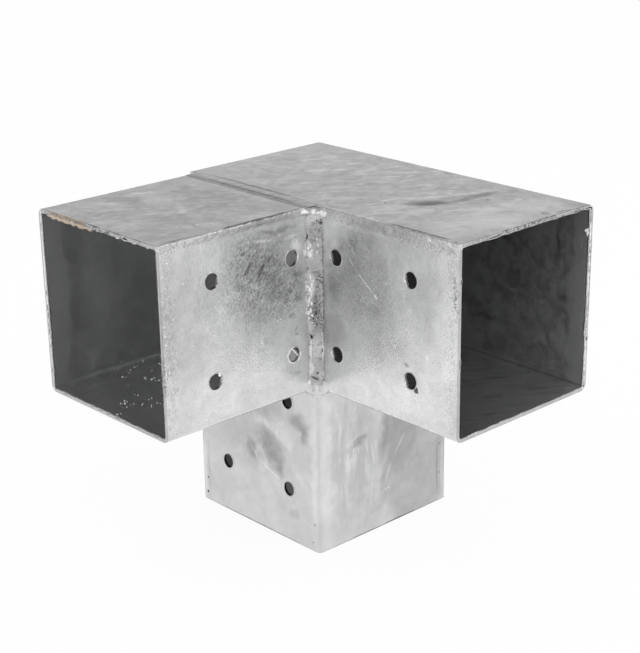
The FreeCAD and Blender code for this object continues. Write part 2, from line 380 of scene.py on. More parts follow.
def make_mark_group() -> Tree:
    """An oval cushion: 1 in the middle, fading to 0 at its rim, and thin through the wall.

    Returns:
        The shader group; Along, Across and Through are directions over the oval's half sizes.
    """
    names = ("Place", "Position", "Centre", "Along", "Across", "Through")
    sockets = {name: VECTOR for name in names}
    plan, start, end = new_group("zinc_mark", "ShaderNodeTree", {**sockets, "Core": FLOAT}, {"Mask": FLOAT})
    given = start.outputs
    offset = plan.vector("SUBTRACT", given["Position"], given["Centre"])
    parts = [plan.measure("DOT_PRODUCT", offset, given[name]) for name in ("Along", "Across")]
    true_offset = plan.vector("SUBTRACT", given["Place"], given["Centre"])
    parts.append(plan.measure("DOT_PRODUCT", true_offset, given["Through"]))
    place = plan.node("ShaderNodeCombineXYZ", dict(enumerate(parts))).outputs[0]
    plan.feed(end.inputs["Mask"], plan.ramp(plan.measure("LENGTH", place), 1.0, given["Core"]))
    return plan.tree


def make_zinc_group() -> Tree:
    """Frozen zinc: slow clouds, finer runs, dark speckle and the surface's ripple height.

    Returns:
        The shader group, which reads a position in millimetres.
    """
    inputs = {"Position": VECTOR, "Brushed Position": VECTOR, "Wiped Position": VECTOR}
    names = ("Clouds", "Runs", "Speckle", "Wipes", "Pebbles", "Grain")
    outputs = {**{name: FLOAT for name in names}, "Wander": VECTOR}
    plan, start, end = new_group("frozen_zinc", "ShaderNodeTree", inputs, outputs)
    position, brushed, wiped = (start.outputs[name] for name in inputs)
    # Where each is read, its lumps per millimetre, detail and distortion.
    layers = {
        "Clouds": (position, 0.045, 4.0, 0.4),
        "Runs": (position, 0.14, 5.0, 0.7),
        "Wipes": (wiped, 0.3, 4.0, 0.5),
        "Pebbles": (position, 1.4, 1.0, 0.2),
        "Grain": (position, 1.5, 2.0),
    }
    for name, settings in layers.items():
        plan.feed(end.inputs[name], plan.noise(*settings).outputs[0])
    speckle = plan.noise(brushed, 1.0, 3.0, 1.1).outputs[0]
    plan.feed(end.inputs["Speckle"], plan.ramp(speckle, *SPECKLE_STEP))
    wander = plan.vector("SUBTRACT", plan.noise(position, 0.11, 3.0).outputs[1], (0.5, 0.5, 0.5))
    plan.feed(end.inputs["Wander"], wander)
    return plan.tree


class Groups:
    """The shared shader groups, made once."""

    def __init__(self) -> None:
        """Makes both groups."""
        self.mark = make_mark_group()
        self.zinc = make_zinc_group()


@dataclass(frozen=True)
class ZincFinish:
    """Galvanised finish of one sheet or of the welds, with painted light and shade in some; tones run from 0,
    black, to 1, white.
    """

    name: str
    tone: float = 0.86
    tint: Place = (1.0, 1.0, 1.0)
    cloud_tone: float = 0.08
    run_tone: float = 0.07
    speckle_tone: float = -0.03
    grain_tone: float = 0.05
    metallic: float = 0.94
    roughness: float = 0.21
    roughness_spread: float = 0.12
    pebble_height: float = 0.025
    cloud_height: float = 0.35
    run_height: float = 0.08
    grain_height: float = 0.006
    # Painted light inside the sleeve, as a tone factor; above 1 it lightens the inside.
    painted_inside_light: float = 1.0
    # Painted shade on the walls of bolt holes, as a tone factor.
    painted_bore_shade: float = 0.55
    rim_tone: float = 0.86
    fold: float = 3.8
    pit_tone: float = 0.0
    brush_turn: Place = (0.0, 0.0, 0.0)
    brush_stretch: Place = (1.0, 1.0, 1.0)
    wipe_turn: Place = (0.0, 0.0, 0.0)
    wipe_stretch: Place = (1.0, 1.0, 1.0)
    marks: tuple[Mark, ...] = ()
    inside_of: str | None = None
    inside_axis: Axis = Axis.Y

    def build(self, groups: Groups) -> Material:
        """Makes the material.

        Args:
            groups: The shared shader groups.

        Returns:
            The material, which reads Object coordinates only.
        """
        material = bpy.data.materials.new(self.name)
        material.use_nodes = True
        plan = Plan(material.node_tree)
        shader = material.node_tree.nodes["Principled BSDF"]
        place = plan.node("ShaderNodeTexCoord").outputs["Object"]
        position = plan.scaled(place, PER_MM)
        zinc = plan.group(
            groups.zinc,
            Position=position,
            Brushed_Position=self.drawn_out(plan, position, self.brush_turn, self.brush_stretch),
            Wiped_Position=self.drawn_out(plan, position, self.wipe_turn, self.wipe_stretch),
        )
        given = zinc.outputs
        ragged = plan.vector("ADD", place, plan.scaled(given["Wander"], RAGGED_WANDER))
        straight = plan.vector("ADD", place, plan.scaled(given["Wander"], STRAIGHT_WANDER))

        sums: dict[MarkKind, Any] = {kind: 0.0 for kind in MarkKind}
        for mark in self.marks:
            source = straight if mark.kind in (MarkKind.STROKE, MarkKind.CRUST) else ragged
            mask = self.mark_mask(plan, groups, mark, place, source)
            sums[mark.kind] = plan.add_scaled(mask, mark.tone, sums[mark.kind])

        names = ("Clouds", "Runs", "Wipes", "Grain")
        clouds, runs, wipes, grain = (plan.centred(given[name]) for name in names)
        tone = plan.add_scaled(clouds, 2.0 * self.cloud_tone, self.tone)
        run_tone = plan.math("ADD", sums[MarkKind.RUNS], self.run_tone)
        tone = plan.add_scaled(runs, plan.math("MULTIPLY", run_tone, 2.0), tone)
        patchy = plan.ramp(given["Runs"], *PATCHY_RUNS)
        tone = plan.add_scaled(wipes, plan.math("MULTIPLY", sums[MarkKind.WIPES], patchy), tone)
        tone = plan.add_scaled(given["Speckle"], self.speckle_tone, tone)
        tone = plan.add_scaled(grain, 2.0 * self.grain_tone, tone)
        # Cloud, stroke and speckle marks add the zinc's own tone changes and the painted light, shade and
        # reflections of the tables.
        for kind in (MarkKind.CLOUD, MarkKind.STROKE):
            tone = plan.math("ADD", tone, sums[kind])
        tone = plan.add_scaled(given["Speckle"], sums[MarkKind.SPECKLE], tone)
        if self.pit_tone:
            pits = plan.ramp(plan.noise(position, *PIT_NOISE).outputs[0], *PIT_STEP)
            tone = plan.add_scaled(pits, self.pit_tone, tone)
        if self.inside_of:
            tone = plan.math("MULTIPLY", tone, self.painted_depth_shading(plan, place))
        tone = plan.math("MINIMUM", plan.math("MAXIMUM", tone, DARKEST_TONE), LIGHTEST_TONE)
        level = plan.math("POWER", tone, GAMMA)
        tint = plan.node("ShaderNodeMix", {0: sums[MarkKind.CRUST]}, data_type="RGBA")
        plan.feed(tint.inputs[6], self.tint + (1.0,))
        plan.feed(tint.inputs[7], CRUST_TINT + (1.0,))
        plan.feed(shader.inputs["Base Color"], plan.scaled(tint.outputs[2], level))

        rough = plan.add_scaled(clouds, self.roughness_spread, self.roughness)
        plan.feed(shader.inputs["Roughness"], plan.math("ADD", rough, sums[MarkKind.MATTE]))
        if any(mark.kind is MarkKind.CRUST for mark in self.marks):
            metal = plan.add_scaled(sums[MarkKind.CRUST], -self.metallic, self.metallic)
            plan.feed(shader.inputs["Metallic"], metal)
        else:
            shader.inputs["Metallic"].default_value = self.metallic

        strength = plan.math("ADD", sums[MarkKind.PEBBLE], self.pebble_height)
        height = plan.math("MULTIPLY", given["Pebbles"], strength)
        heights = {"Clouds": self.cloud_height, "Runs": self.run_height, "Grain": self.grain_height}
        for name, share in heights.items():
            height = plan.add_scaled(given[name], share, height)
        bump = plan.node("ShaderNodeBump", {"Height": height, "Distance": MM, "Strength": 1.0})
        plan.feed(shader.inputs["Normal"], bump.outputs[0])
        return material

    def drawn_out(self, plan: Plan, position: Socket, turn: Place, stretch: Place) -> Socket:
        """A position whose noise is drawn out along a turned direction.

        Args:
            plan: The material's node tree.
            position: The position in millimetres.
            turn: Turns about the three axes in degrees.
            stretch: How many times longer the noise gets along the turned axes.

        Returns:
            The position to read the noise at.
        """
        inputs = {"Vector": position, "Rotation": tuple(map(math.radians, turn)), "Scale": stretch}
        return plan.node("ShaderNodeMapping", inputs, vector_type="TEXTURE").outputs[0]

    def mark_mask(self, plan: Plan, groups: Groups, mark: Mark, place: Socket, source: Socket) -> Socket:
        """Places one mark.

        Args:
            plan: The material's node tree.
            groups: The shared shader groups.
            mark: The mark.
            place: Object coordinates in metres.
            source: The same, wandering a little, which gives the mark its outline.

        Returns:
            Its mask.
        """
        along, up, through = mark.wall.directions
        turn = Matrix.Rotation(math.radians(mark.turn), 3, through)
        made = plan.group(
            groups.mark,
            Place=place,
            Position=source,
            Centre=mark.wall.point(*mark.centre),
            Along=turn @ along / (mark.reach[0] * MM),
            Across=turn @ up / (mark.reach[1] * MM),
            Through=through / mark.wall.half_depth,
            Core=1.0 - mark.softness,
        )
        return made.outputs["Mask"]

    def painted_depth_shading(self, plan: Plan, place: Socket) -> Socket:
        """Painted shade in the sleeve's bolt holes, painted light inside it, and the duller tone of its
        mouth's cut edge.

        Args:
            plan: The material's node tree.
            place: Object coordinates in metres.

        Returns:
            A factor for the tone, 1 on the outside.
        """
        low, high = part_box(self.inside_of)
        axis = self.inside_axis.value
        flat = (high - low) / 2 - Vector((self.fold * MM,) * 3)
        flat[axis] = 1.0
        offset = plan.vector("ABSOLUTE", plan.vector("SUBTRACT", place, (low + high) / 2))
        past = plan.vector("SUBTRACT", offset, flat)
        parts = plan.node("ShaderNodeSeparateXYZ", {0: past}).outputs
        nearest = plan.math("MAXIMUM", plan.math("MAXIMUM", parts[0], parts[1]), parts[2])
        round_corner = plan.measure("LENGTH", plan.vector("MAXIMUM", past, (0.0, 0.0, 0.0)))
        outwards = plan.math("ADD", round_corner, plan.math("MINIMUM", nearest, 0.0))
        depth = plan.add_scaled(outwards, -PER_MM, self.fold)
        # Painted shade on the bolt holes' walls, then the painted light level deeper than the sheet.
        bore = plan.ramp(depth, *BORE_SHADE_STEP, 1.0, self.painted_bore_shade)
        shade = plan.ramp(depth, *INSIDE_STEP, bore, self.painted_inside_light)
        along = plan.node("ShaderNodeSeparateXYZ", {0: place}).outputs[axis]
        behind_rim = plan.ramp(along, *(low[axis] + step for step in RIM_STEP))
        return plan.add_scaled(behind_rim, plan.math("SUBTRACT", shade, self.rim_tone), self.rim_tone)


SHORT_SLEEVE_MARKS_AND_PAINTED_LIGHT = (
    *ovals(Wall.SHORT_SIDE, MarkKind.CLOUD, (
        # (-32, 66) is a painted reflection of the long sleeve's wall, darker.
        (-86, 60, 26, 50, -0.08), (-32, 66, 34, 36, -0.06, -30), (-10, 58, 16, 36, 0.12),
        (-12.6, 64, 2.6, 3.6, -0.15, 40), (-16.5, 56.5, 3.4, 2.4, -0.14), (-11.2, 52, 3, 2.4, -0.14),
        (-19.8, 54, 1.6, 3.6, -0.15), (-16, 44, 3.6, 1.9, -0.15), (-24, 89.5, 17, 2.4, -0.14),
        (-35, 36, 2.6, 3.8, 0.06, 0, 0.5), (-34.4, 36, 1.8, 2.6, -0.1, 0, 0.5),
    )),
    *ovals(Wall.SHORT_SIDE, MarkKind.SPECKLE, (
        # (-34, 66) is the dark speckle of that painted reflection of the long sleeve's wall.
        (-34, 66, 38, 28, -0.19, -35), (-44, 84, 11, 8, -0.14), (-15, 54, 9, 14, -0.1),
        (-91, 50, 6, 70, -0.07),
    )),
    *ovals(Wall.SHORT_SIDE, MarkKind.RUNS, ((-32, 66, 36, 32, 0.14),)),
    *lines(Wall.SHORT_SIDE, (
        (-47, 69.4, -39.8, 78.2, 3, -0.2), (-37.5, 67.6, -31.5, 76.2, 3.2, -0.2),
        (-31.6, 73.8, -26, 79.5, 2.6, -0.16), (-62, 62, -56, 54, 1.2, 0.06), (-30, 60, -18, 72, 4, 0.08),
        (-46, 88, -22, 84, 2.2, 0.1), (-23, 84, -8, 85, 2.2, 0.1), (-16.5, 13.9, -9.8, 12.9, 1.8, -0.09),
        (-12.4, 38.6, -14.6, 34.6, 1.2, -0.16), (-14.6, 34.6, -11.6, 33.2, 1.2, -0.16),
        (-90, 15, -85, 30, 1.4, 0.06),
    )),
    *ovals(Wall.SHORT_SIDE, MarkKind.MATTE, ((-12, 33, 10, 14, 0.22),)),
    *lines(Wall.SHORT_TOP, (
        (-93, 2.8, -74, 2.4, 1.4, -0.35), (-74, 2.6, -8, 2.8, 1.2, -0.25), (-76, 90, -60, 65, 8, 0.06),
        (-42, 55, -54, 32, 6, 0.06), (-60, 20, -63, 13, 2.4, -0.12),
    )),
    *ovals(Wall.SHORT_SIDE, MarkKind.PEBBLE, ((-40, 28, 34, 12, 0.3, -10), (-40, 55, 34, 34, 0.12))),
    *ovals(Wall.SHORT_TOP, MarkKind.CLOUD, (
        (-57, 75, 10, 17, -0.08, 20), (-66, 32, 8, 17, -0.07, 20), (-25, 50, 30, 42, -0.08),
        (-42, 76, 7, 6, 0.05), (-78, 89, 2, 2, -0.14), (-84, 63, 3.5, 3, -0.09),
    )),
    *ovals(Wall.SHORT_TOP, MarkKind.WIPES, ((-48, 48, 75, 75, 0.2),)),
    *ovals(Wall.SHORT_TOP, MarkKind.RUNS, ((-48, 48, 75, 75, 0.13),)),
    # Painted light: the inside is lighter near the mouth, where light comes in, and so is its speckle there.
    *ovals(Wall.SHORT_INSIDE, MarkKind.CLOUD, ((-92, 55, 13, 75, 0.2, 0, 0.6),)),
    *ovals(Wall.SHORT_INSIDE, MarkKind.PEBBLE, ((-91, 55, 12, 75, 0.14),)),
    *ovals(Wall.SHORT_INSIDE, MarkKind.SPECKLE, ((-92, 55, 14, 75, 0.12),)),
    *lines(Wall.SHORT_INSIDE, ((-84, 88, -86, 40, 2.4, 0.12),)),
    # Painted light: the inside floor is lightened all over.
    *ovals(Wall.FLOOR_INSIDE, MarkKind.CLOUD, ((-48, 48, 90, 90, 0.07),)),
    *ovals(Wall.SHORT_MOUTH, MarkKind.CRUST, ((71, 95.4, 19, 2.2, 1, 0, 0.3),)),
    *ovals(Wall.SHORT_MOUTH, MarkKind.SPECKLE, ((48, 95.5, 60, 2.5, -0.4), (0.8, 26, 2, 26, -0.3))),
)

LONG_SLEEVE_MARKS_AND_PAINTED_LIGHT = (
    *ovals(Wall.LONG_SIDE, MarkKind.CLOUD, (
        # (51, 48) is painted shade on the wall that closes the short sleeve; (-26, 60) is a darker painted
        # reflection; (-8, 50) and (-6.5, 38) are painted shade beside the corner weld; (-56, 12) is a lighter
        # painted reflection.
        (51, 48, 50, 70, -0.34, 0, 0.15), (-26, 60, 42, 42, -0.1), (-8, 50, 16, 46, -0.11),
        (-15, 59, 9, 8, -0.06), (-6.5, 38, 2.6, 32, -0.06), (-62.5, 32, 3.4, 1.5, -0.2),
        (-88, 45, 14, 60, 0.04), (-68.2, 21.2, 1.2, 1.5, -0.5, 0, 0.5), (-56, 12, 34, 14, 0.04),
    )),
    *ovals(Wall.LONG_SIDE, MarkKind.SPECKLE, (
        (-27, 83, 6, 6, -0.14), (-35, 62, 30, 30, -0.09), (-91.5, 50, 5, 70, -0.09), (-93, 72, 2, 12, -0.25),
    )),
    *lines(Wall.LONG_SIDE, (
        (-8, 93, -62, 91.5, 7, 0.05), (-60.5, 61, -60.7, 66, 1, 0.12), (-43, 59, -26.5, 72.4, 0.9, 0.2),
        (-43.4, 59, -40.5, 61, 1.4, 0.25), (-28, 71, -23.5, 76.5, 0.9, 0.15), (-76, 36, -75.6, 40, 1.4, 0.08),
        (-30, 75, -20, 88, 1.6, 0.06),
    )),
    *ovals(Wall.LONG_SIDE, MarkKind.MATTE, ((-14, 34, 12, 14, 0.2),)),
    *ovals(Wall.LONG_SIDE, MarkKind.PEBBLE, (
        (-46, 33, 30, 13, 0.55, -28), (-86, 20, 10, 26, 0.35), (-60, 50, 14, 18, 0.15),
    )),
    *lines(Wall.LONG_TOP, (
        (29, -28, 52, -46, 13, -0.24), (34, -34, 50, -46, 7, -0.14), (46, -45, 84, -47.5, 8, -0.22),
        (3.2, 0, 3, 96, 3.4, -0.26), (2.6, -40, 2.8, -95, 2, -0.5), (24, -16, 60, -37, 6.5, 0.09),
        (56, -35, 84, -46, 4.5, 0.09), (44, 74, 84, 62, 6, 0.06), (30, 60, 70, 34, 6, 0.06),
        (10, -58, 27, -67, 4.5, 0.05), (25, -65, 39, -93, 5.5, 0.06), (25, -23, 28, -21, 1.5, -0.3),
        (63.5, -55.5, 66.5, -53.5, 1.8, -0.3),
    )),
    *ovals(Wall.LONG_TOP, MarkKind.WIPES, ((48, 0, 90, 140, 0.2),)),
    *ovals(Wall.LONG_TOP, MarkKind.RUNS, ((48, 0, 90, 140, 0.14),)),
    *ovals(Wall.LONG_TOP, MarkKind.CLOUD, (
        (18, -45, 26, 42, 0.04), (52, -75, 9, 10, -0.05), (66, -90, 2.6, 2.2, -0.16), (75, -94, 6, 0.9, -0.3),
        (45, -78, 60, 28, 0.12), (86, -52, 6, 8, -0.06),
    )),
    *ovals(Wall.LONG_INSIDE, MarkKind.CLOUD, (
        # (-94, 50) is painted light on the inside near the mouth, where light comes in.
        (-94, 50, 12, 80, 0.22, 0, 0.5), (-76, 72, 2.4, 18, -0.16), (-32, 24, 14, 3, -0.15),
    )),
    *ovals(Wall.LONG_INSIDE, MarkKind.RUNS, ((-90, 50, 16, 80, 0.3), (-48, 50, 80, 80, 0.22))),
    *ovals(Wall.LONG_INSIDE, MarkKind.PEBBLE, ((-90, 50, 12, 80, 0.3),)),
    *ovals(Wall.LONG_INSIDE, MarkKind.SPECKLE, ((-60, 50, 70, 70, -0.06),)),
    *lines(Wall.LONG_INSIDE, ((-94, 3.6, 90, 3.6, 1.8, 0.12),)),
    # Painted light: the inside floor is lightened all over.
    *ovals(Wall.FLOOR_INSIDE, MarkKind.CLOUD, ((47, -48, 80, 80, 0.1),)),
    *ovals(Wall.FLOOR_INSIDE, MarkKind.WIPES, ((47, -48, 80, 80, 1),)),
    *ovals(Wall.LONG_MOUTH, MarkKind.SPECKLE, ((48, 96, 60, 2.5, -0.35), (95, 60, 2.5, 45, -0.3))),
    *ovals(Wall.LONG_MOUTH, MarkKind.CLOUD, ((82, 95, 9, 2, -0.2), (94.5, 28, 1.8, 1.5, -0.5, 0, 0.5))),
)

POST_SLEEVE_MARKS_AND_PAINTED_LIGHT = (
    *ovals(Wall.LONG_SIDE, MarkKind.CLOUD, (
        # (44, -20) is painted shade under the short sleeve; (3, -48) is a painted highlight beside the near
        # rounded edge.
        (15.5, -23, 10.5, 7, -0.16), (10, -29, 5, 10, -0.14, 20), (35, -45, 10, 17, -0.15, -25),
        (44, -38, 9, 9, -0.09), (30, -55, 5, 6, -0.08), (53, -48, 4.5, 8, -0.1), (44, -20, 30, 12, -0.1),
        (58, -44, 34, 20, -0.06), (20, -76, 6, 4, -0.05), (3, -48, 4.5, 70, 0.05),
    )),
    *ovals(Wall.LONG_SIDE, MarkKind.RUNS, ((36, -42, 26, 26, 0.1), (48, -46, 80, 70, 0.03))),
    *lines(Wall.LONG_SIDE, (
        # (94, -95) to (94, -50) is a painted highlight along the far rounded edge.
        (57, -44, 46, -54, 1.4, 0.08), (46, -54, 27, -61, 1.4, 0.08), (90.5, -95, 90.5, -50, 1.6, -0.07),
        (94, -95, 94, -50, 4, 0.06), (4, -77.6, 4, -76.4, 1, -0.4), (5, -88.6, 5, -87.4, 1, -0.4),
        (92, -79.8, 92, -78.2, 1.6, -0.5), (92.5, -89, 92.5, -87, 2, -0.5), (1, -92.6, 97, -92.6, 1, -0.3),
    )),
    *ovals(Wall.SHORT_SIDE, MarkKind.CLOUD, (
        # (5, -48) is a painted highlight beside the near rounded edge.
        (76, -48, 34, 66, -0.1, -6, 0.3), (48, -40, 6, 22, -0.1, -12), (46, -72, 5, 20, -0.06, -15),
        (57, -28, 4, 6, -0.08), (68, -22, 16, 13, -0.08, 0, 0.6), (62, -44, 12, 26, -0.06, -12, 0.4),
        (29, -38, 7, 3, -0.14, 15), (26, -46, 24, 60, -0.04), (5, -48, 7, 70, 0.06),
    )),
    *lines(Wall.SHORT_SIDE, (
        # (93.5, -95) to (93.5, -50) is a painted highlight along the far rounded edge.
        (1, -92.6, 97, -92.6, 1, -0.3), (22, -40, 21, -46, 1.2, 0.09), (25.5, -39, 25, -45, 1, 0.08),
        (29, -40, 28.4, -44, 1, 0.08), (34, -37.5, 36, -48, 1.4, 0.06), (38, -38, 40, -55, 1.4, 0.08),
        (40, -55, 36, -86, 2, 0.04), (66, -40, 54, -55, 1.8, 0.08), (54, -55, 48, -70, 1.8, 0.08),
        (47, -70, 50.5, -73.5, 1, 0.12), (50, -70.5, 52.5, -73, 0.9, 0.12),
        (46, -73.5, 48.5, -72.5, 0.9, 0.1), (89.5, -95, 89.5, -50, 1.6, -0.08),
        (93.5, -95, 93.5, -50, 4, 0.06), (91.2, -58.6, 91.2, -57.4, 1, -0.4),
        (91.5, -76.6, 91.5, -75.4, 1, -0.4),
    )),
    *ovals(Wall.SHORT_SIDE, MarkKind.WIPES, ((24, -40, 24, 60, 0.22),)),
    *ovals(Wall.SHORT_SIDE, MarkKind.RUNS, ((48, -46, 80, 70, 0.03),)),
)

CRUST_TINT = (0.68, 0.56, 0.45)
SHEET_TINT = (0.99, 1.0, 0.995)
LONG_SLEEVE_FINISH = ZincFinish(
    "long_sleeve_zinc",
    tint=SHEET_TINT,
    marks=LONG_SLEEVE_MARKS_AND_PAINTED_LIGHT,
    inside_of="long_sleeve",
    inside_axis=Axis.Y,
    brush_turn=(0.0, 0.0, -31.0),
    brush_stretch=(1.6, 0.9, 1.0),
    wipe_turn=(0.0, 0.0, -34.0),
    wipe_stretch=(9.0, 1.0, 1.0),
    # Painted light: this sleeve's inside is lightened.
    painted_inside_light=1.09,
)
SHORT_SLEEVE_FINISH = ZincFinish(
    "short_sleeve_zinc",
    tint=SHEET_TINT,
    marks=SHORT_SLEEVE_MARKS_AND_PAINTED_LIGHT,
    inside_of="short_sleeve",
    inside_axis=Axis.X,
    brush_turn=(0.0, -52.0, 0.0),
    brush_stretch=(1.6, 0.9, 0.9),
    wipe_turn=(0.0, 0.0, -36.0),
    wipe_stretch=(8.0, 1.0, 1.0),
    # Painted light: this sleeve's inside is lightened.
    painted_inside_light=1.03,
    # Lighter painted shade in this sleeve's bolt holes.
    painted_bore_shade=0.62,
)
POST_SLEEVE_FINISH = ZincFinish(
    "post_sleeve_zinc",
    tone=0.81,
    tint=SHEET_TINT,
    marks=POST_SLEEVE_MARKS_AND_PAINTED_LIGHT,
    inside_of="post_sleeve",
    inside_axis=Axis.Z,
    run_tone=0.03,
    speckle_tone=-0.01,
    grain_tone=0.03,
    wipe_stretch=(1.0, 1.0, 8.0),
    fold=3.2,
)
# Painted shade: the end plate's inside face is darkened all over, where little light reaches.
END_PLATE_PAINTED_SHADE = (
    *ovals(Wall.BACK_INSIDE, MarkKind.CLOUD, ((47, 48, 90, 90, -0.6, 0, 0.3),)),
)
END_PLATE_FINISH = ZincFinish("end_plate_zinc", tint=SHEET_TINT, marks=END_PLATE_PAINTED_SHADE)
TOP_JOINT_MARKS = (
    *lines(Wall.LONG_TOP, ((2.9, -4, 2.7, 95, 1.4, -0.5), (-3.4, -4, -3.6, 95, 2.4, -0.32))),
)
TOP_JOINT_FINISH = ZincFinish("top_joint_zinc", tone=0.79, speckle_tone=-0.05, marks=TOP_JOINT_MARKS)
SEAM_MARKS = (
    *lines(Wall.SHORT_EDGE, ((-64, 0, -6, 0, 5, -0.22),)),
    *lines(Wall.LONG_EDGE, ((-96, 1, -40, 1, 2.4, -0.25),)),
    *lines(Wall.LONG_TOP, ((1.6, -97, 1.6, -36, 2.2, -0.5), (2.2, -42, 2.2, 3, 1.3, -0.3))),
    *lines(Wall.SHORT_TOP, ((-97, 1.6, -56, 1.6, 2.2, -0.4), (-64, 1.2, -3, 1.2, 4, -0.4))),
)
SEAM_FINISH = ZincFinish("seam_zinc", tone=0.84, speckle_tone=-0.08, marks=SEAM_MARKS)
CORNER_WELD_MARKS_AND_PAINTED_LIGHT = (
    *ovals(Wall.CORNER_WELD, MarkKind.SPECKLE, (
        (1.4, 43.5, 3.8, 12.5, -0.5), (1.6, 60, 3.4, 9, -0.32), (1, 84, 4, 7, -0.15),
        (2, 89.6, 3.4, 1.9, -0.6), (-2.4, 76, 2.6, 8, 0.34), (-2.4, 56, 2.4, 11, 0.38),
        (-3.2, 42, 1.8, 11, 0.36),
    )),
    *ovals(Wall.CORNER_WELD, MarkKind.CLOUD, (
        (0.6, 24, 5, 12, 0.06), (-3.9, 82.4, 0.9, 1.6, -0.4, 0, 0.6), (-3.1, 65.7, 1, 1.5, -0.4, 0, 0.6),
        (-2.5, 31.4, 0.7, 0.9, -0.5, 0, 0.5), (2.1, 24, 0.5, 2.4, -0.3, 0, 0.6),
        (1.7, 11.6, 0.8, 0.8, -0.4, 0, 0.5), (0, 92, 6, 3, 0.08), (-2.8, 13.5, 2.2, 5, 0.14),
        (3.4, 10, 1.4, 4, 0.1), (0, 4.6, 6, 3, 0.1),
    )),
    *lines(Wall.CORNER_WELD, (
        # (-3.4, 9.8) to (2.6, 7.2) is painted shade in the crevice across the weld's foot.
        (-3.4, 9.8, 2.6, 7.2, 1.7, -0.3), (-2.2, 33, -3, 13, 1.4, 0.14), (3.2, 32, 3.4, 14, 0.9, 0.1),
    )),
)
CORNER_WELD_FINISH = ZincFinish(
    "corner_weld_zinc", tone=0.68, speckle_tone=-0.06, brush_stretch=(0.6, 0.6, 0.6), marks=CORNER_WELD_MARKS_AND_PAINTED_LIGHT
)
WELD_FINISH = ZincFinish("weld_zinc", tone=0.8, pit_tone=-0.15)
# Near-white zinc: the pale tone of drops, specks and spatter is partly their own and partly a painted
# highlight.
HIGHLIGHT_DROP_FINISH = ZincFinish(
    "highlight_painted_zinc", tone=0.96, cloud_tone=0.02, run_tone=0.02, metallic=0.5, roughness=0.4
)
SADDLE_FINISH = ZincFinish("saddle_zinc", tone=0.88, cloud_tone=0.03, metallic=0.3, roughness=0.5)
CRUST_FINISH = ZincFinish("tan_crust", 0.97, CRUST_TINT, speckle_tone=-0.1, metallic=0.0, roughness=0.75)
BEAD_FINISH = ZincFinish("seam_bead_zinc", tone=0.68, speckle_tone=-0.14)
MOUTH_FINISH = ZincFinish("mouth_zinc", tone=0.76, speckle_tone=-0.14)
FILM_FINISH = ZincFinish("zinc_film", tone=0.68, speckle_tone=-0.08, roughness=0.35)


def finish_piece(piece: Piece, slot: Slot, *nodes: str) -> None:
    """Joins a piece to the frame.

    Args:
        piece: The finished object, in place.
        slot: The record's material slot it belongs to; not used.
        nodes: CAD nodes that it stands for.
    """
    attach(piece, BODY)
    if nodes:
        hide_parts(*nodes)
    log.info("%s: %d faces", piece.name, len(piece.data.polygons))


def merged_copy(node: str) -> Mesh:
    """A CAD node's mesh with its triangles joined and its flat faces cleared of inner edges.

    Args:
        node: The node's name.

    Returns:
        A new bmesh.
    """
    mesh = bmesh.new()
    mesh.from_mesh(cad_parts[node].data)
    bmesh.ops.remove_doubles(mesh, verts=mesh.verts, dist=MERGE_DISTANCE)
    bmesh.ops.dissolve_limit(mesh, angle_limit=FLAT_ANGLE, verts=mesh.verts, edges=mesh.edges)
    return mesh


def new_object(name: str, mesh: Mesh, material: Material) -> Piece:
    """Turns a bmesh into an object of the scene.

    Args:
        name: The object's name.
        mesh: The bmesh, which is freed.
        material: Its only material.

    Returns:
        The object, smooth shaded.
    """
    data = bpy.data.meshes.new(name)
    mesh.to_mesh(data)
    mesh.free()
    data.materials.append(material)
    data.shade_smooth()
    made = bpy.data.objects.new(name, data)
    bpy.context.scene.collection.objects.link(made)
    return made


def apply_modifiers(piece: Piece) -> None:
    """Makes the evaluated shape the object's own plain mesh, inside the CAD box."""
    evaluated = piece.evaluated_get(bpy.context.evaluated_depsgraph_get())
    data = bpy.data.meshes.new_from_object(evaluated)
    piece.modifiers.clear()
    piece.data = data
    data.name = piece.name
    for vertex in data.vertices:
        for axis in range(3):
            vertex.co[axis] = min(max(vertex.co[axis], CAD_LOW[axis]), CAD_HIGH[axis])


def add_tree(piece: Piece, tree: Tree, values: dict[str, Any]) -> None:
    """Runs a Geometry Nodes tree on an object and keeps the plain mesh.

    Args:
        piece: The object.
        tree: The tree.
        values: The tree's inputs by name.
    """
    modifier = piece.modifiers.new(tree.name, "NODES")
    modifier.node_group = tree
    for item in tree.interface.items_tree:
        if item.name in values:
            modifier[item.identifier] = values[item.name]
    apply_modifiers(piece)


@dataclass
class FoldedSheet:
    """A folded or cut sheet of the CAD frame, with its cut edges eased."""

    node: str
    finish: ZincFinish
    edge_round: float = 0.3 * MM
    edge_steps: int = 2
    sharp_angle: float = 50.0
    wall_weight: int = 100

    def build(self, groups: Groups) -> Piece:
        """Makes the sheet from the node and dresses it.

        Args:
            groups: The shared shader groups.

        Returns:
            The finished piece.
        """
        piece = new_object(f"{self.node}_sheet", merged_copy(self.node), self.finish.build(groups))
        bevel = piece.modifiers.new("eased_edges", "BEVEL")
        bevel.width = self.edge_round
        bevel.segments = self.edge_steps
        bevel.limit_method = "ANGLE"
        bevel.angle_limit = math.radians(self.sharp_angle)
        bevel.use_clamp_overlap = False
        flat = piece.modifiers.new("flat_walls", "WEIGHTED_NORMAL")
        flat.weight = self.wall_weight
        apply_modifiers(piece)
        finish_piece(piece, Slot.SHEET, self.node)
        return piece


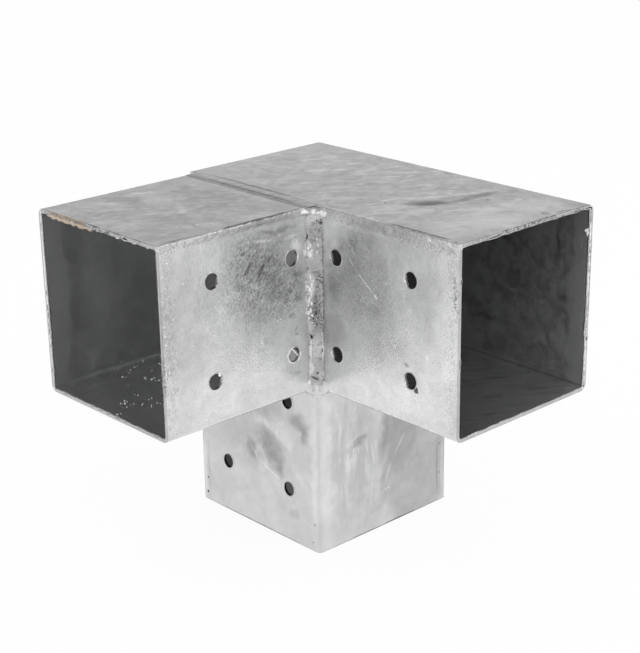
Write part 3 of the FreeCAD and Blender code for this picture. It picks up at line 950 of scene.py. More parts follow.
def start_tree(name: str, floats: Sequence[str], **others: str) -> tuple[Plan, Any, Node]:
    """Starts a Geometry Nodes tree that takes a geometry, named inputs and a material.

    Args:
        name: The tree's name.
        floats: Names of the inputs that are plain numbers.
        others: Socket types of further inputs by name.

    Returns:
        The tree's plan, its inputs by name and its output node.
    """
    sockets = {"Geometry": GEOMETRY, **{key: FLOAT for key in floats}, **others, "Material": MATERIAL}
    plan, start, end = new_group(name, "GeometryNodeTree", sockets, {"Geometry": GEOMETRY})
    return plan, start.outputs, end


def finish_tree(plan: Plan, geometry: Socket, material: Socket, end: Node) -> Tree:
    """Ends a tree: instances made real, smooth, with the material set.

    Args:
        plan: The tree's plan.
        geometry: What it made.
        material: The tree's material input.
        end: The tree's output node.

    Returns:
        The tree.
    """
    real = plan.node("GeometryNodeRealizeInstances", {"Geometry": geometry})
    smooth = plan.node("GeometryNodeSetShadeSmooth", {"Geometry": real.outputs[0]})
    dressed = plan.node("GeometryNodeSetMaterial", {"Geometry": smooth.outputs[0], "Material": material})
    plan.feed(end.inputs["Geometry"], dressed.outputs[0])
    return plan.tree


def make_ripple_tree() -> Tree:
    """Weld ripples: a wave along the run, with lumps and grit, pushed out from the joint.

    Returns:
        The Geometry Nodes tree.
    """
    floats = (
        "Pitch", "Ripple", "Lump Size", "Lump", "Grit Size", "Grit", "Sink", "Level", "Flatten", "Seed",
    )
    plan, given, end = start_tree("weld_ripple", floats, Along=VECTOR, Out=VECTOR)
    place = plan.node("GeometryNodeInputPosition").outputs[0]
    shifted = plan.vector("ADD", place, plan.node("ShaderNodeCombineXYZ", {0: given["Seed"]}).outputs[0])
    lumps = plan.lumps(shifted, given["Lump Size"])
    grit = plan.lumps(shifted, given["Grit Size"])
    run = plan.math("DIVIDE", plan.measure("DOT_PRODUCT", place, given["Along"]), given["Pitch"])
    turns = plan.math("MULTIPLY", plan.add_scaled(lumps, RIPPLE_WANDER, run), math.tau)
    push = plan.math("MULTIPLY", plan.math("SINE", turns), given["Ripple"])
    push = plan.add_scaled(lumps, given["Lump"], push)
    push = plan.add_scaled(grit, given["Grit"], push)
    push = plan.math("SUBTRACT", push, given["Sink"])
    out = plan.vector("NORMALIZE", given["Out"])
    proud = plan.math("SUBTRACT", plan.measure("DOT_PRODUCT", place, out), given["Level"])
    back = plan.math("MULTIPLY", plan.math("MAXIMUM", proud, 0.0), given["Flatten"])
    offset = plan.scaled(out, plan.math("SUBTRACT", push, back))
    moved = plan.node("GeometryNodeSetPosition", {"Geometry": given["Geometry"], "Offset": offset})
    return finish_tree(plan, moved.outputs[0], given["Material"], end)


class GrownPiece:
    """A piece that a Geometry Nodes tree grows on a plain mesh; its lengths are in millimetres."""

    name: str
    finish: ZincFinish
    slot = Slot.SHEET
    nodes: tuple[str, ...] = ()
    lengths: tuple[str, ...] = ()

    def ground(self) -> Mesh:
        """The mesh that the tree starts from."""
        raise NotImplementedError

    def other_inputs(self) -> dict[str, Any]:
        """Inputs of the tree that are not lengths."""
        return {}

    def build(self, tree: Tree, zinc: dict[ZincFinish, Material]) -> Piece:
        """Grows and dresses the piece.

        Args:
            tree: The tree for pieces of this kind.
            zinc: The materials by finish.

        Returns:
            The finished piece.
        """
        material = zinc[self.finish]
        piece = new_object(self.name, self.ground(), material)
        lengths = {key.replace("_", " ").title(): getattr(self, key) * MM for key in self.lengths}
        add_tree(piece, tree, {**lengths, **self.other_inputs(), "Material": material})
        finish_piece(piece, self.slot, *self.nodes)
        return piece


@dataclass
class WeldBead(GrownPiece):
    """A run of weld metal: the CAD solid cut into short lengths and rippled."""

    node: str
    along: Axis
    out: Place
    finish: ZincFinish = WELD_FINISH
    pitch: float = 1.6
    ripple: float = 0.12
    lump_size: float = 5.0
    lump: float = 0.5
    grit_size: float = 1.3
    grit: float = 0.3
    sink: float = 0.0
    level: float = 0.0
    flatten: float = 0.0
    seed: float = 0.0
    slice_length: float = 0.6

    slot = Slot.WELD
    lengths = ("pitch", "ripple", "lump_size", "lump", "grit_size", "grit", "sink")

    @property
    def name(self) -> str:
        """The piece's name."""
        return f"{self.node}_bead"

    @property
    def nodes(self) -> tuple[str, ...]:
        """The CAD node that it stands for."""
        return (self.node,)

    def other_inputs(self) -> dict[str, Any]:
        """The run's directions, the height it is pressed back to, and its seed."""
        level = CORNER.dot(Vector(self.out).normalized()) + self.level * MM
        directions = {"Along": self.along.unit, "Out": self.out}
        return {**directions, "Level": level, "Flatten": self.flatten, "Seed": self.seed}

    def ground(self) -> Mesh:
        """The node's solid cut by even planes along all three directions."""
        mesh = merged_copy(self.node)
        low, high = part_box(self.node)
        for axis in Axis:
            span = high[axis.value] - low[axis.value]
            count = max(1, round(span / (self.slice_length * MM)))
            for step in range(1, count):
                at = low + axis.unit * span * step / count
                parts = mesh.verts[:] + mesh.edges[:] + mesh.faces[:]
                bmesh.ops.bisect_plane(mesh, geom=parts, plane_co=at, plane_no=axis.unit, dist=MERGE_DISTANCE)
        return mesh


def make_rim_tree() -> Tree:
    """Rings of zinc round punched holes: a bead on each point, facing along its own direction.

    Returns:
        The Geometry Nodes tree.
    """
    plan, given, end = start_tree("hole_rims", ("Rim", "Bead", "Wobble Size", "Wobble"))
    ring, section = plan.circle(RIM_STEPS, given["Rim"]), plan.circle(RIM_SIDES, given["Bead"])
    bead = plan.node("GeometryNodeCurveToMesh", {"Curve": ring, "Profile Curve": section})
    facing = plan.node("GeometryNodeInputNamedAttribute", {"Name": "facing"}, data_type="FLOAT_VECTOR")
    turn = plan.node("FunctionNodeAlignRotationToVector", {"Vector": facing.outputs[0]}, axis="Z")
    placed = plan.node(
        "GeometryNodeInstanceOnPoints",
        {"Points": given["Geometry"], "Instance": bead.outputs[0], "Rotation": turn.outputs[0]},
    )
    real = plan.node("GeometryNodeRealizeInstances", {"Geometry": placed.outputs[0]})
    moved = plan.roughened(real.outputs[0], given["Wobble Size"], given["Wobble"])
    return finish_tree(plan, moved, given["Material"], end)


def point_mesh(attribute: str, points: Sequence[tuple[Vector, Vector]]) -> Mesh:
    """Loose points for a tree to build on.

    Args:
        attribute: Name of the vector that each point carries.
        points: Place and vector of each point.

    Returns:
        A bmesh whose vertices carry the attribute.
    """
    mesh = bmesh.new()
    layer = mesh.verts.layers.float_vector.new(attribute)
    for place, value in points:
        vertex = mesh.verts.new(place)
        vertex[layer] = value
    return mesh


@dataclass
class HoleRims(GrownPiece):
    """The zinc rims of the bolt holes, at the places that the record's bolt patterns give."""

    name: str = "hole_rims"
    finish: ZincFinish = SEAM_FINISH
    centres: tuple[tuple[Wall, float, float], ...] = tuple(
        (wall, first, second)
        for wall in (Wall.SHORT_SIDE, Wall.LONG_SIDE)
        for first in (-65.0, -15.0)
        for second in (23.5, 73.5)
    ) + tuple((Wall.LONG_SIDE, first, second) for first in (23.0, 73.0) for second in (-63.0, -13.0))
    rim: float = 4.35
    bead: float = 0.24
    wobble_size: float = 1.8
    wobble: float = 0.3

    lengths = ("rim", "bead", "wobble_size", "wobble")

    def ground(self) -> Mesh:
        """A point in every hole, facing out of its wall."""
        points = [(wall.point(first, second), wall.directions[2]) for wall, first, second in self.centres]
        return point_mesh("facing", points)


def make_edge_tree() -> Tree:
    """Zinc that froze along an edge: a tube whose thickness swells and thins along the path.

    Returns:
        The Geometry Nodes tree.
    """
    plan, given, end = start_tree("edge_runs", ("Step", "Radius", "Swell", "Swell Size", "Grit"))
    path = plan.node("GeometryNodeMeshToCurve", {"Mesh": given["Geometry"]})
    fine = plan.node("GeometryNodeResampleCurve", {"Curve": path.outputs[0]}, mode="LENGTH")
    plan.feed(fine.inputs["Length"], given["Step"])
    place = plan.node("GeometryNodeInputPosition").outputs[0]
    swell = plan.noise(place, plan.math("DIVIDE", 1.0, given["Swell Size"]), 3.0).outputs[0]
    radius = plan.add_scaled(plan.ramp(swell, *SWELL_STEP), given["Swell"], given["Radius"])
    shape = {"Curve": fine.outputs[0], "Profile Curve": plan.circle(TUBE_SIDES, 1.0), "Scale": radius}
    tube = plan.node("GeometryNodeCurveToMesh", {**shape, "Fill Caps": True})
    moved = plan.roughened(tube.outputs[0], given["Swell Size"], given["Grit"], GRIT_PER_SWELL)
    return finish_tree(plan, moved, given["Material"], end)


@dataclass
class EdgeRun(GrownPiece):
    """Zinc or crust along edges, given as end points in millimetres from the inner corner."""

    name: str
    edges: Places
    finish: ZincFinish
    radius: float = 0.45
    swell: float = 0.6
    swell_size: float = 7.0
    grit: float = 0.3
    step: float = 0.5

    lengths = ("step", "radius", "swell", "swell_size", "grit")

    def ground(self) -> Mesh:
        """The edges as loose wires."""
        mesh = bmesh.new()
        for edge in self.edges:
            mesh.edges.new([mesh.verts.new(CORNER + Vector(place) * MM) for place in edge])
        return mesh


def mouth_edges(axis: Axis, height: float) -> Places:
    """The four inner edges of a sleeve's mouth.

    Args:
        axis: The direction that the sleeve runs along.
        height: The sleeve's outer height in millimetres.

    Returns:
        End points of the four edges.
    """
    depth, near = MOUTH + MOUTH_DEPTH, MOUTH_INSET
    far, top = SLEEVE_WIDTH - near, height - near
    corners = ((near, near), (far, near), (far, top), (near, top))
    places = [(side, depth, up) if axis is Axis.Y else (depth, side, up) for side, up in corners]
    return tuple((places[index - 1], places[index]) for index in range(len(places)))


def make_drop_tree() -> Tree:
    """Frozen drops: a lumpy ball on every point, with its own three half sizes.

    Returns:
        The Geometry Nodes tree.
    """
    plan, given, end = start_tree("zinc_drops", ("Lump Size", "Lump"), Detail=INTEGER)
    ball = plan.node("GeometryNodeMeshIcoSphere", {"Radius": 1.0, "Subdivisions": given["Detail"]})
    size = plan.node("GeometryNodeInputNamedAttribute", {"Name": "size"}, data_type="FLOAT_VECTOR")
    placed = plan.node(
        "GeometryNodeInstanceOnPoints",
        {"Points": given["Geometry"], "Instance": ball.outputs[0], "Scale": size.outputs[0]},
    )
    real = plan.node("GeometryNodeRealizeInstances", {"Geometry": placed.outputs[0]})
    moved = plan.roughened(real.outputs[0], given["Lump Size"], given["Lump"])
    return finish_tree(plan, moved, given["Material"], end)


@dataclass
class ZincDrops(GrownPiece):
    """Drops and specks of zinc: a place and three half sizes each, in millimetres from the inner corner."""

    name: str
    drops: Places
    finish: ZincFinish
    detail: int = 2
    lump_size: float = 1.2
    lump: float = 0.5

    lengths = ("lump_size", "lump")

    def other_inputs(self) -> dict[str, Any]:
        """How finely the balls are divided."""
        return {"Detail": self.detail}

    def ground(self) -> Mesh:
        """A point for every drop, with its half sizes."""
        points = [(CORNER + Vector(place) * MM, Vector(half) * MM) for place, half in self.drops]
        return point_mesh("size", points)


def make_spatter_tree() -> Tree:
    """Pimples of zinc scattered over patches of a wall, each flattened on it.

    Returns:
        The Geometry Nodes tree.
    """
    sockets = {"Smallest": VECTOR, "Largest": VECTOR, "Seed": INTEGER}
    plan, given, end = start_tree("zinc_spatter", ("Density",), **sockets)
    scatter = plan.node(
        "GeometryNodeDistributePointsOnFaces",
        {"Mesh": given["Geometry"], "Density": given["Density"], "Seed": given["Seed"]},
    )
    size = plan.node(
        "FunctionNodeRandomValue",
        {0: given["Smallest"], 1: given["Largest"], "Seed": given["Seed"]},
        data_type="FLOAT_VECTOR",
    )
    ball = plan.node("GeometryNodeMeshIcoSphere", {"Radius": 1.0, "Subdivisions": PIMPLE_DETAIL})
    placed = plan.node(
        "GeometryNodeInstanceOnPoints",
        {
            "Points": scatter.outputs["Points"], "Instance": ball.outputs[0],
            "Rotation": scatter.outputs["Rotation"], "Scale": size.outputs[0],
        },
    )
    return finish_tree(plan, placed.outputs[0], given["Material"], end)


@dataclass
class Spatter(GrownPiece):
    """Pimples of zinc on patches of walls: two opposite corners each, in millimetres from the corner."""

    name: str
    patches: tuple[tuple[Wall, Pair, Pair], ...]
    finish: ZincFinish
    per_square_cm: float = 4.5
    smallest: Place = (0.2, 0.2, 0.1)
    largest: Place = (0.6, 0.6, 0.3)
    seed: int = 1

    def other_inputs(self) -> dict[str, Any]:
        """How many pimples there are, their sizes and their seed."""
        smallest, largest = Vector(self.smallest) * MM, Vector(self.largest) * MM
        density = self.per_square_cm * SQUARE_CM_PER_SQUARE_M
        return {"Density": density, "Smallest": smallest, "Largest": largest, "Seed": self.seed}

    def ground(self) -> Mesh:
        """The patches as flat faces."""
        mesh = bmesh.new()
        for wall, (first, low), (last, high) in self.patches:
            corners = ((first, low), (last, low), (last, high), (first, high))
            mesh.faces.new([mesh.verts.new(wall.point(*corner)) for corner in corners])
        return mesh


# Place on the floor and half size of each speck, in millimetres from the inner corner.
SPECK_PLACES = (
    (-93, 42.5, 1.2), (-82, 51.5, 0.9), (-80, 54.5, 0.7), (-75, 39, 0.8), (-68.5, 47.5, 1), (-72, 48.5, 0.6),
    (-71, 55.5, 1), (-54, 72, 1), (-52.5, 68, 0.9), (-51, 64, 0.7), (-61.5, 81.5, 0.8), (-56, 83, 0.8),
    (-73, 81, 0.9), (-57, 91.5, 0.8), (-40.5, 92, 1), (-36.5, 83, 0.8), (-77, 44, 0.6), (-79, 48, 0.6),
    (-63, 60, 0.5), (-66, 70, 0.5), (-45, 78, 0.6), (-49, 88, 0.6), (-84, 47, 0.5), (-70, 41, 0.6),
    (-53, 86, 0.5),
)
SPECK_LIFT = 0.1
SPECK_GAP = 2.0
GOLDEN_TURN = 2.4
GRAIN_STEP = 1.25
GRAIN_DEPTH = -0.35
DROP_DEPTH = -0.4
HOLE_CENTRE = (-15.0, 23.5)
THREAD_RING = 4.2


def floor_specks() -> Places:
    """Spilt zinc on the short sleeve's floor: each speck with a smaller one beside it.

    Returns:
        Place and half sizes of every speck in millimetres.
    """
    specks = []
    height = SHEET + SPECK_LIFT
    for index, (x, y, half) in enumerate(SPECK_PLACES):
        turn = GOLDEN_TURN * index
        size = half * (0.5 + 0.25 * math.sin(3.0 * turn))
        stretch = 1.0 + 0.7 * math.sin(5.0 * turn)
        specks.append(((x, y, height), (size * stretch, size, size * 0.7)))
        beside = (x + SPECK_GAP * math.cos(turn), y + SPECK_GAP * math.sin(turn), height)
        specks.append((beside, (size * 0.45, size * 0.6, size * 0.4)))
    return tuple(specks)


def on_weld(across: float, up: float, out: float = 0.0) -> Place:
    """A place on the corner weld's face.

    Args:
        across: Millimetres to the right of the corner.
        up: Height over the sleeves' underside.
        out: How far in front of the face.

    Returns:
        The place in millimetres from the inner corner.
    """
    place = (Wall.CORNER_WELD.point(across, up) - CORNER) * PER_MM
    return tuple(place + Vector((-1.0, -1.0, 0.0)).normalized() * out)


def weld_grains() -> Places:
    """Small bright drops that froze on the corner weld's left half, in two groups.

    Returns:
        Place and half sizes of every grain in millimetres.
    """
    grains = []
    for bottom, top, across in ((38.0, 63.0, -2.5), (71.5, 80.0, -2.1)):
        for index in range(round((top - bottom) / GRAIN_STEP)):
            turn = GOLDEN_TURN * (index + 3.0)
            half = 0.6 + 0.35 * math.sin(3.1 * turn)
            place = on_weld(across + 0.9 * math.sin(turn), bottom + GRAIN_STEP * index, GRAIN_DEPTH)
            grains.append((place, (half, half, half * (1.3 + 0.5 * math.sin(1.7 * turn)))))
    return tuple(grains)


# Place and three half sizes of each drop, in millimetres from the inner corner; their near-white tone is
# partly a painted highlight.
BRIGHT_DROPS = (
    ((-6.8, -0.1, 95.1), (2.2, 1.3, 1.2)), ((-5.2, -1, 94.7), (1.1, 0.9, 0.8)),
    ((-3.2, -2.9, 94.9), (1.5, 1.4, 1.2)), ((-1.6, -4.4, 94.5), (1, 1.2, 0.8)),
    ((-0.2, -6.2, 94), (1.3, 2.6, 1.8)), ((-0.2, -7.9, 94.6), (1, 1.4, 1)),
    (on_weld(-2, 73.6, DROP_DEPTH), (1.5, 1.5, 1.9)), (on_weld(-1.6, 57.6, DROP_DEPTH), (1, 1, 1.6)),
    (on_weld(2.2, 61, DROP_DEPTH), (0.5, 0.5, 0.6)), (on_weld(1.2, 81, DROP_DEPTH), (0.6, 0.6, 0.9)),
    (on_weld(2, 78, DROP_DEPTH), (0.6, 0.6, 0.8)), (on_weld(1.4, 74.6, DROP_DEPTH), (0.7, 0.7, 0.9)),
    ((-5.4, -0.4, 6.4), (1, 0.8, 1.6)), ((-92.4, 0.8, 95.2), (1.8, 0.9, 0.9)),
    ((-89, 0.8, 95.3), (1.2, 0.8, 0.8)), ((-86, 0.9, 95.4), (1, 0.7, 0.7)),
    ((0.6, -92.6, 95.6), (0.8, 1.8, 1)), ((0.5, -89.4, 95.4), (0.8, 1.3, 0.9)),
    ((0.6, -86.2, 95.6), (0.7, 1.1, 0.8)), ((0.5, -77.5, 95.3), (0.7, 1.6, 0.9)),
    ((-0.2, -61.4, 21), (0.5, 0.5, 0.9)), ((-62.3, 0.1, 26.4), (0.9, 0.4, 1.3)),
) + weld_grains()
LEDGE_ENDS = (
    ((95.4, 1.8, 0.8), (2.6, 2.6, 2.6)), ((95.6, 95.6, 0.8), (2.4, 2.4, 2.4)),
    ((1.8, 95.4, 0.8), (2.6, 2.6, 2.4)),
)
MOUTH_FLAKES = (
    ((92.8, -94.4, 83), (0.9, 0.3, 2.2)), ((91.4, -94.4, 84.2), (1, 0.3, 0.8)),
    ((93.6, -94.4, 31), (0.5, 0.3, 1.2)),
)
CORNER_SADDLE = (
    ((-1, 2.4, -0.4), (3, 2.6, 2)), ((2.4, -1, -0.4), (2.6, 3, 2)), ((-4.6, 0.2, 3.6), (3.6, 1.1, 3.2)),
    ((0.2, -4.6, 3.6), (1.1, 3.6, 3.2)),
)
CORNER_RUN = (((-0.4, -0.4, 5.5), (4.9, 4.9, -13)),)
MOUTH_CRUST = (((-93.4, 89, 94.2), (-93.4, 53, 94)),)
MOUTH_LUMPS = (((-94, 52, 94.6), (-94, 6, 94.6)), ((-94, 0.5, 46), (-94, 0.5, 7)))
SHORT_SEAM = (((-58, 1.5, 95.8), (-9, 1.5, 95.8)),)
LONG_SEAM = (((1.2, -93, 96.4), (1.2, -44, 96.5)),)
MOUTH_PATCHES = ((Wall.SHORT_SIDE, (-94.6, 4), (-88, 94)), (Wall.LONG_SIDE, (-94.6, 4), (-90, 94)))
SEAM_PATCHES = ((Wall.LONG_SIDE, (-94, 90), (-58, 95.5)), (Wall.SHORT_SIDE, (-94, 92), (-84, 95)))
WALL_PATCHES = ((Wall.SHORT_SIDE, (-88, 4), (-20, 92)), (Wall.LONG_SIDE, (-90, 4), (-50, 60)))
HOLE_FILM = (((-15.4, 0.9, 22.2), (3.8, 0.3, 3.7)),)


def film_threads() -> Places:
    """Zinc threads in one bolt hole: two across it and a ring round most of its rim.

    Returns:
        End points of every thread in millimetres.
    """
    apex, right, left = (-16.0, 0.4, 26.9), (-12.4, 0.4, 22.5), (-18.3, 0.4, 24.2)
    turns = [math.radians(angle) for angle in range(80, 381, 20)]
    x, z = HOLE_CENTRE
    ring = [(x + THREAD_RING * math.cos(turn), 0.0, z + THREAD_RING * math.sin(turn)) for turn in turns]
    return ((apex, right), (apex, left)) + tuple(zip(ring, ring[1:]))


@dataclass
class Studio:
    """Camera, floor, world and lamps."""

    azimuth: float = -42.677
    elevation: float = 19.874
    roll: float = -0.959
    distance: float = 0.77393
    aim_above_corner: float = 0.0475
    shift_right: float = 0.002178
    shift_up: float = -0.012283
    focal_pixels: float = 1562.0
    floor_half: float = 6.0
    floor_tone: float = 0.9
    floor_roughness: float = 0.9
    shadow_share: float = 0.06
    glow_in_post: float = 0.08
    sky_level: float = 0.9
    ceiling_level: float = 0.42
    ceiling_start: float = 0.35
    lamps: tuple[tuple[str, Place, float, float], ...] = (
        ("key_softbox", (-1.3, -0.7, 1.5), 1.4, 6.0),
        ("fill_softbox", (0.6, -1.6, 1.0), 1.4, 9.0),
    )

    def build(self) -> None:
        """Sets up the whole studio."""
        self.add_camera()
        self.add_floor()
        self.add_world()
        for name, place, side, power in self.lamps:
            self.add_lamp(name, Vector(place), side, power)
        bpy.context.scene.view_settings.view_transform = "Standard"

    def add_camera(self) -> None:
        """Places the camera at the photograph's viewpoint."""
        turn, lift, tilt = (math.radians(v) for v in (self.azimuth, self.elevation, self.roll))
        back = Vector((math.sin(turn) * math.cos(lift), -math.cos(turn) * math.cos(lift), math.sin(lift)))
        level_right = Vector((math.cos(turn), math.sin(turn), 0.0))
        level_up = back.cross(level_right)
        right = level_right * math.cos(tilt) + level_up * math.sin(tilt)
        up = level_up * math.cos(tilt) - level_right * math.sin(tilt)
        aim = CORNER + Vector((0.0, 0.0, self.aim_above_corner))
        place = aim + back * self.distance + right * self.shift_right + up * self.shift_up
        data = bpy.data.cameras.new("camera")
        data.sensor_width = SENSOR_WIDTH
        data.lens = self.focal_pixels * SENSOR_WIDTH / max(IMAGE_WIDTH, IMAGE_HEIGHT)
        camera = bpy.data.objects.new("camera", data)
        axes = Matrix((right, up, back)).transposed().to_4x4()
        camera.matrix_world = Matrix.Translation(place) @ axes
        bpy.context.scene.collection.objects.link(camera)
        bpy.context.scene.camera = camera

    def seen_directly(self, plan: Plan) -> Socket:
        """1 for rays from the camera or from a reflection, 0 for light that falls on things."""
        rays = plan.node("ShaderNodeLightPath").outputs
        seen = plan.math("MAXIMUM", rays["Is Camera Ray"], rays["Is Glossy Ray"])
        return plan.math("MAXIMUM", seen, rays["Is Transmission Ray"])

    def add_floor(self) -> None:
        """Adds a wide white floor that keeps a pale shadow."""
        mesh = bmesh.new()
        bmesh.ops.create_grid(mesh, x_segments=1, y_segments=1, size=self.floor_half)
        material = bpy.data.materials.new("white_floor")
        material.use_nodes = True
        plan = Plan(material.node_tree)
        shader = material.node_tree.nodes["Principled BSDF"]
        shader.inputs["Base Color"].default_value = (self.floor_tone,) * 3 + (1.0,)
        shader.inputs["Roughness"].default_value = self.floor_roughness
        shader.inputs["Specular IOR Level"].default_value = 0.0
        glow = plan.node("ShaderNodeEmission", {"Strength": 1.0})
        share = plan.math("MULTIPLY", self.seen_directly(plan), 1.0 - self.shadow_share)
        share = plan.math("MULTIPLY", share, self.outside_post(plan))
        mixed = plan.node("ShaderNodeMixShader", {0: share, 1: shader.outputs[0], 2: glow.outputs[0]})
        plan.feed(material.node_tree.nodes["Material Output"].inputs["Surface"], mixed.outputs[0])
        floor = new_object("studio_floor", mesh, material)

    def outside_post(self, plan: Plan) -> Socket:
        """Almost 0 on the floor below the post sleeve, where little light gets in, and 1 round it."""
        place = plan.node("ShaderNodeTexCoord").outputs["Object"]
        low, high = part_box("post_sleeve")
        offset = plan.vector("ABSOLUTE", plan.vector("SUBTRACT", place, (low + high) / 2))
        parts = plan.node("ShaderNodeSeparateXYZ", {0: offset}).outputs
        reach = plan.math("MAXIMUM", parts[0], parts[1])
        return plan.ramp(reach, high.x - SHEET * MM, high.x, self.glow_in_post)

    def add_world(self) -> None:
        """Adds a white surround, dimmer where it lights things than where it is seen."""
        world = bpy.data.worlds.new("white_surround")
        world.use_nodes = True
        plan = Plan(world.node_tree)
        background = world.node_tree.nodes["Background"]
        background.inputs["Color"].default_value = (1.0, 1.0, 1.0, 1.0)
        rays = plan.node("ShaderNodeLightPath").outputs
        height = plan.node("ShaderNodeSeparateXYZ", {0: plan.node("ShaderNodeTexCoord").outputs["Generated"]})
        mirrored = plan.ramp(height.outputs[2], 0.0, self.ceiling_start, 1.0, self.ceiling_level)
        change = plan.math("SUBTRACT", mirrored, self.sky_level)
        lit = plan.add_scaled(rays["Is Glossy Ray"], change, self.sky_level)
        clear = plan.math("MAXIMUM", rays["Is Camera Ray"], rays["Is Transmission Ray"])
        plan.feed(background.inputs["Strength"], plan.math("MAXIMUM", lit, clear))
        bpy.context.scene.world = world

    def add_lamp(self, name: str, place: Vector, side: float, power: float) -> None:
        """Adds a square softbox that points at the bracket.

        Args:
            name: The lamp's name.
            place: Where it hangs, in metres.
            side: Its side length.
            power: Its power in watts.
        """
        data = bpy.data.lights.new(name, "AREA")
        data.shape = "SQUARE"
        data.size = side
        data.energy = power
        lamp = bpy.data.objects.new(name, data)
        lamp.location = place
        lamp.rotation_mode = "QUATERNION"
        lamp.rotation_quaternion = (CORNER - place).to_track_quat("-Z", "Y")
        bpy.context.scene.collection.objects.link(lamp)


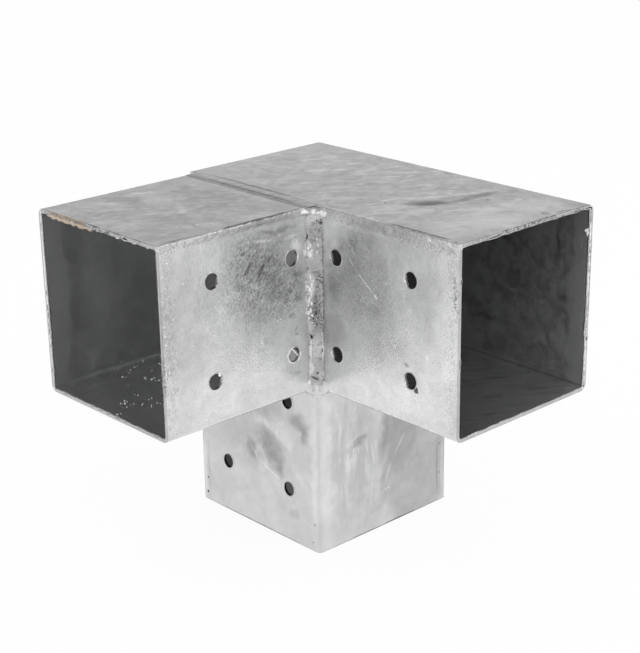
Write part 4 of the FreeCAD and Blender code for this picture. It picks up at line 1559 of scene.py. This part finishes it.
@dataclass
class PergolaBracket:
    """The whole bracket: four sheets, twelve welds and the zinc that the bath left on them."""

    sheets: Sequence[FoldedSheet] = (
        FoldedSheet("long_sleeve", LONG_SLEEVE_FINISH),
        FoldedSheet("short_sleeve", SHORT_SLEEVE_FINISH),
        FoldedSheet("post_sleeve", POST_SLEEVE_FINISH),
        FoldedSheet("end_plate", END_PLATE_FINISH),
    )
    welds: Sequence[WeldBead] = (
        WeldBead(
            "inner_corner_weld", Axis.Z, (-1.0, -1.0, 0.0), CORNER_WELD_FINISH, pitch=4.2, ripple=0.15,
            lump_size=5.0, lump=2.0, grit=0.8, sink=0.9, level=4.6, flatten=0.75,
        ),
        WeldBead(
            "top_joint_weld", Axis.Y, (0.0, 0.0, 1.0), TOP_JOINT_FINISH, ripple=0.03, lump=0.3, grit=0.15,
            sink=0.05, level=LONG_HEIGHT, flatten=0.85, seed=1.0,
        ),
        WeldBead(
            "long_seam_weld", Axis.Y, (-1.0, 0.0, 1.0), SEAM_FINISH, ripple=0.02, lump=0.8, grit=0.6,
            sink=0.25, seed=2.0,
        ),
        WeldBead(
            "short_seam_weld", Axis.X, (0.0, -1.0, 1.0), SEAM_FINISH, ripple=0.02, lump=0.8, grit=0.5,
            sink=0.25, seed=3.0,
        ),
        WeldBead("post_seam_weld", Axis.Z, (1.0, 1.0, 0.0), SEAM_FINISH, lump=0.8, sink=0.2, seed=4.0),
        WeldBead("end_plate_weld", Axis.X, (0.0, 1.0, 0.0), lump=0.5, sink=0.2, seed=5.0),
        WeldBead("outer_joint_weld", Axis.Z, (0.0, 1.0, 0.0), lump=0.8, sink=0.2, seed=6.0),
        WeldBead("underside_joint_weld", Axis.Y, (0.0, 0.0, -1.0), lump=0.5, seed=7.0),
        WeldBead("post_short_weld", Axis.Y, (-1.0, 0.0, -1.0), lump=1.2, sink=0.4, seed=8.0),
        WeldBead("post_long_weld", Axis.X, (0.0, -1.0, -1.0), lump=1.2, sink=0.4, seed=9.0),
        WeldBead(
            "post_outer_weld", Axis.Y, (1.0, 0.0, 1.0), pitch=3.2, ripple=0.08, lump=0.5, grit=0.08, sink=0.3,
            seed=10.0,
        ),
        WeldBead(
            "post_end_weld", Axis.X, (0.0, 1.0, 1.0), pitch=3.2, ripple=0.08, lump=0.5, grit=0.08, sink=0.2,
            seed=11.0,
        ),
    )
    rims: Sequence[HoleRims] = (HoleRims(),)
    edge_runs: Sequence[EdgeRun] = (
        EdgeRun("long_mouth_zinc", mouth_edges(Axis.Y, LONG_HEIGHT), MOUTH_FINISH),
        EdgeRun("short_mouth_zinc", mouth_edges(Axis.X, SHORT_HEIGHT), MOUTH_FINISH),
        EdgeRun("short_mouth_crust", MOUTH_CRUST, CRUST_FINISH, 0.9, 1.1, swell_size=1.7, grit=0.9),
        EdgeRun("short_mouth_lumps", MOUTH_LUMPS, SEAM_FINISH, 0.3, 0.9, swell_size=2.6, grit=0.5),
        EdgeRun("short_seam_bead", SHORT_SEAM, BEAD_FINISH, 1.0, 0.5, swell_size=6.0),
        EdgeRun("long_seam_bead", LONG_SEAM, BEAD_FINISH, 0.5, 0.5, swell_size=4.0),
        EdgeRun("corner_run", CORNER_RUN, SADDLE_FINISH, radius=2.6, swell=0.2, swell_size=5.0, grit=0.2),
        EdgeRun("film_threads", film_threads(), HIGHLIGHT_DROP_FINISH, radius=0.3, swell=0.3, swell_size=2.0),
    )
    drops: Sequence[ZincDrops] = (
        ZincDrops("floor_specks", floor_specks(), HIGHLIGHT_DROP_FINISH),
        ZincDrops("bright_drops", BRIGHT_DROPS, HIGHLIGHT_DROP_FINISH, detail=4, lump_size=1.6, lump=1.1),
        ZincDrops("mouth_flakes", MOUTH_FLAKES, SEAM_FINISH, detail=3, lump=0.4),
        ZincDrops("ledge_weld_ends", LEDGE_ENDS, WELD_FINISH, detail=4, lump_size=2.5, lump=0.5),
        ZincDrops("corner_saddle", CORNER_SADDLE, SADDLE_FINISH, detail=5, lump_size=4.0, lump=0.3),
        ZincDrops("hole_film", HOLE_FILM, FILM_FINISH, detail=4, lump_size=2.0, lump=0.3),
    )
    spatters: Sequence[Spatter] = (
        Spatter("mouth_spatter", MOUTH_PATCHES, HIGHLIGHT_DROP_FINISH),
        Spatter("seam_spatter", SEAM_PATCHES, SEAM_FINISH, 28.0, (0.3, 0.3, 0.2), (0.9, 0.9, 0.5), 2),
        Spatter("wall_spatter", WALL_PATCHES, HIGHLIGHT_DROP_FINISH, 0.5, (0.15, 0.15, 0.08), (0.45, 0.45, 0.2), 3),
    )

    def build(self) -> None:
        """Builds and dresses every piece."""
        groups = Groups()
        for sheet in self.sheets:
            sheet.build(groups)
        finishes = (
            TOP_JOINT_FINISH, SEAM_FINISH, CORNER_WELD_FINISH, WELD_FINISH, HIGHLIGHT_DROP_FINISH, CRUST_FINISH,
            MOUTH_FINISH, FILM_FINISH, SADDLE_FINISH, BEAD_FINISH,
        )
        zinc = {finish: finish.build(groups) for finish in finishes}
        batches = (
            (make_ripple_tree, self.welds),
            (make_rim_tree, self.rims),
            (make_edge_tree, self.edge_runs),
            (make_drop_tree, self.drops),
            (make_spatter_tree, self.spatters),
        )
        for make_tree, pieces in batches:
            tree = make_tree()
            for piece in pieces:
                piece.build(tree, zinc)


def main() -> None:
    """Builds the bracket and its studio."""
    logging.basicConfig(level=logging.INFO, format="%(name)s: %(message)s")
    PergolaBracket().build()
    Studio().build()


if __name__ == "__main__":
    main()
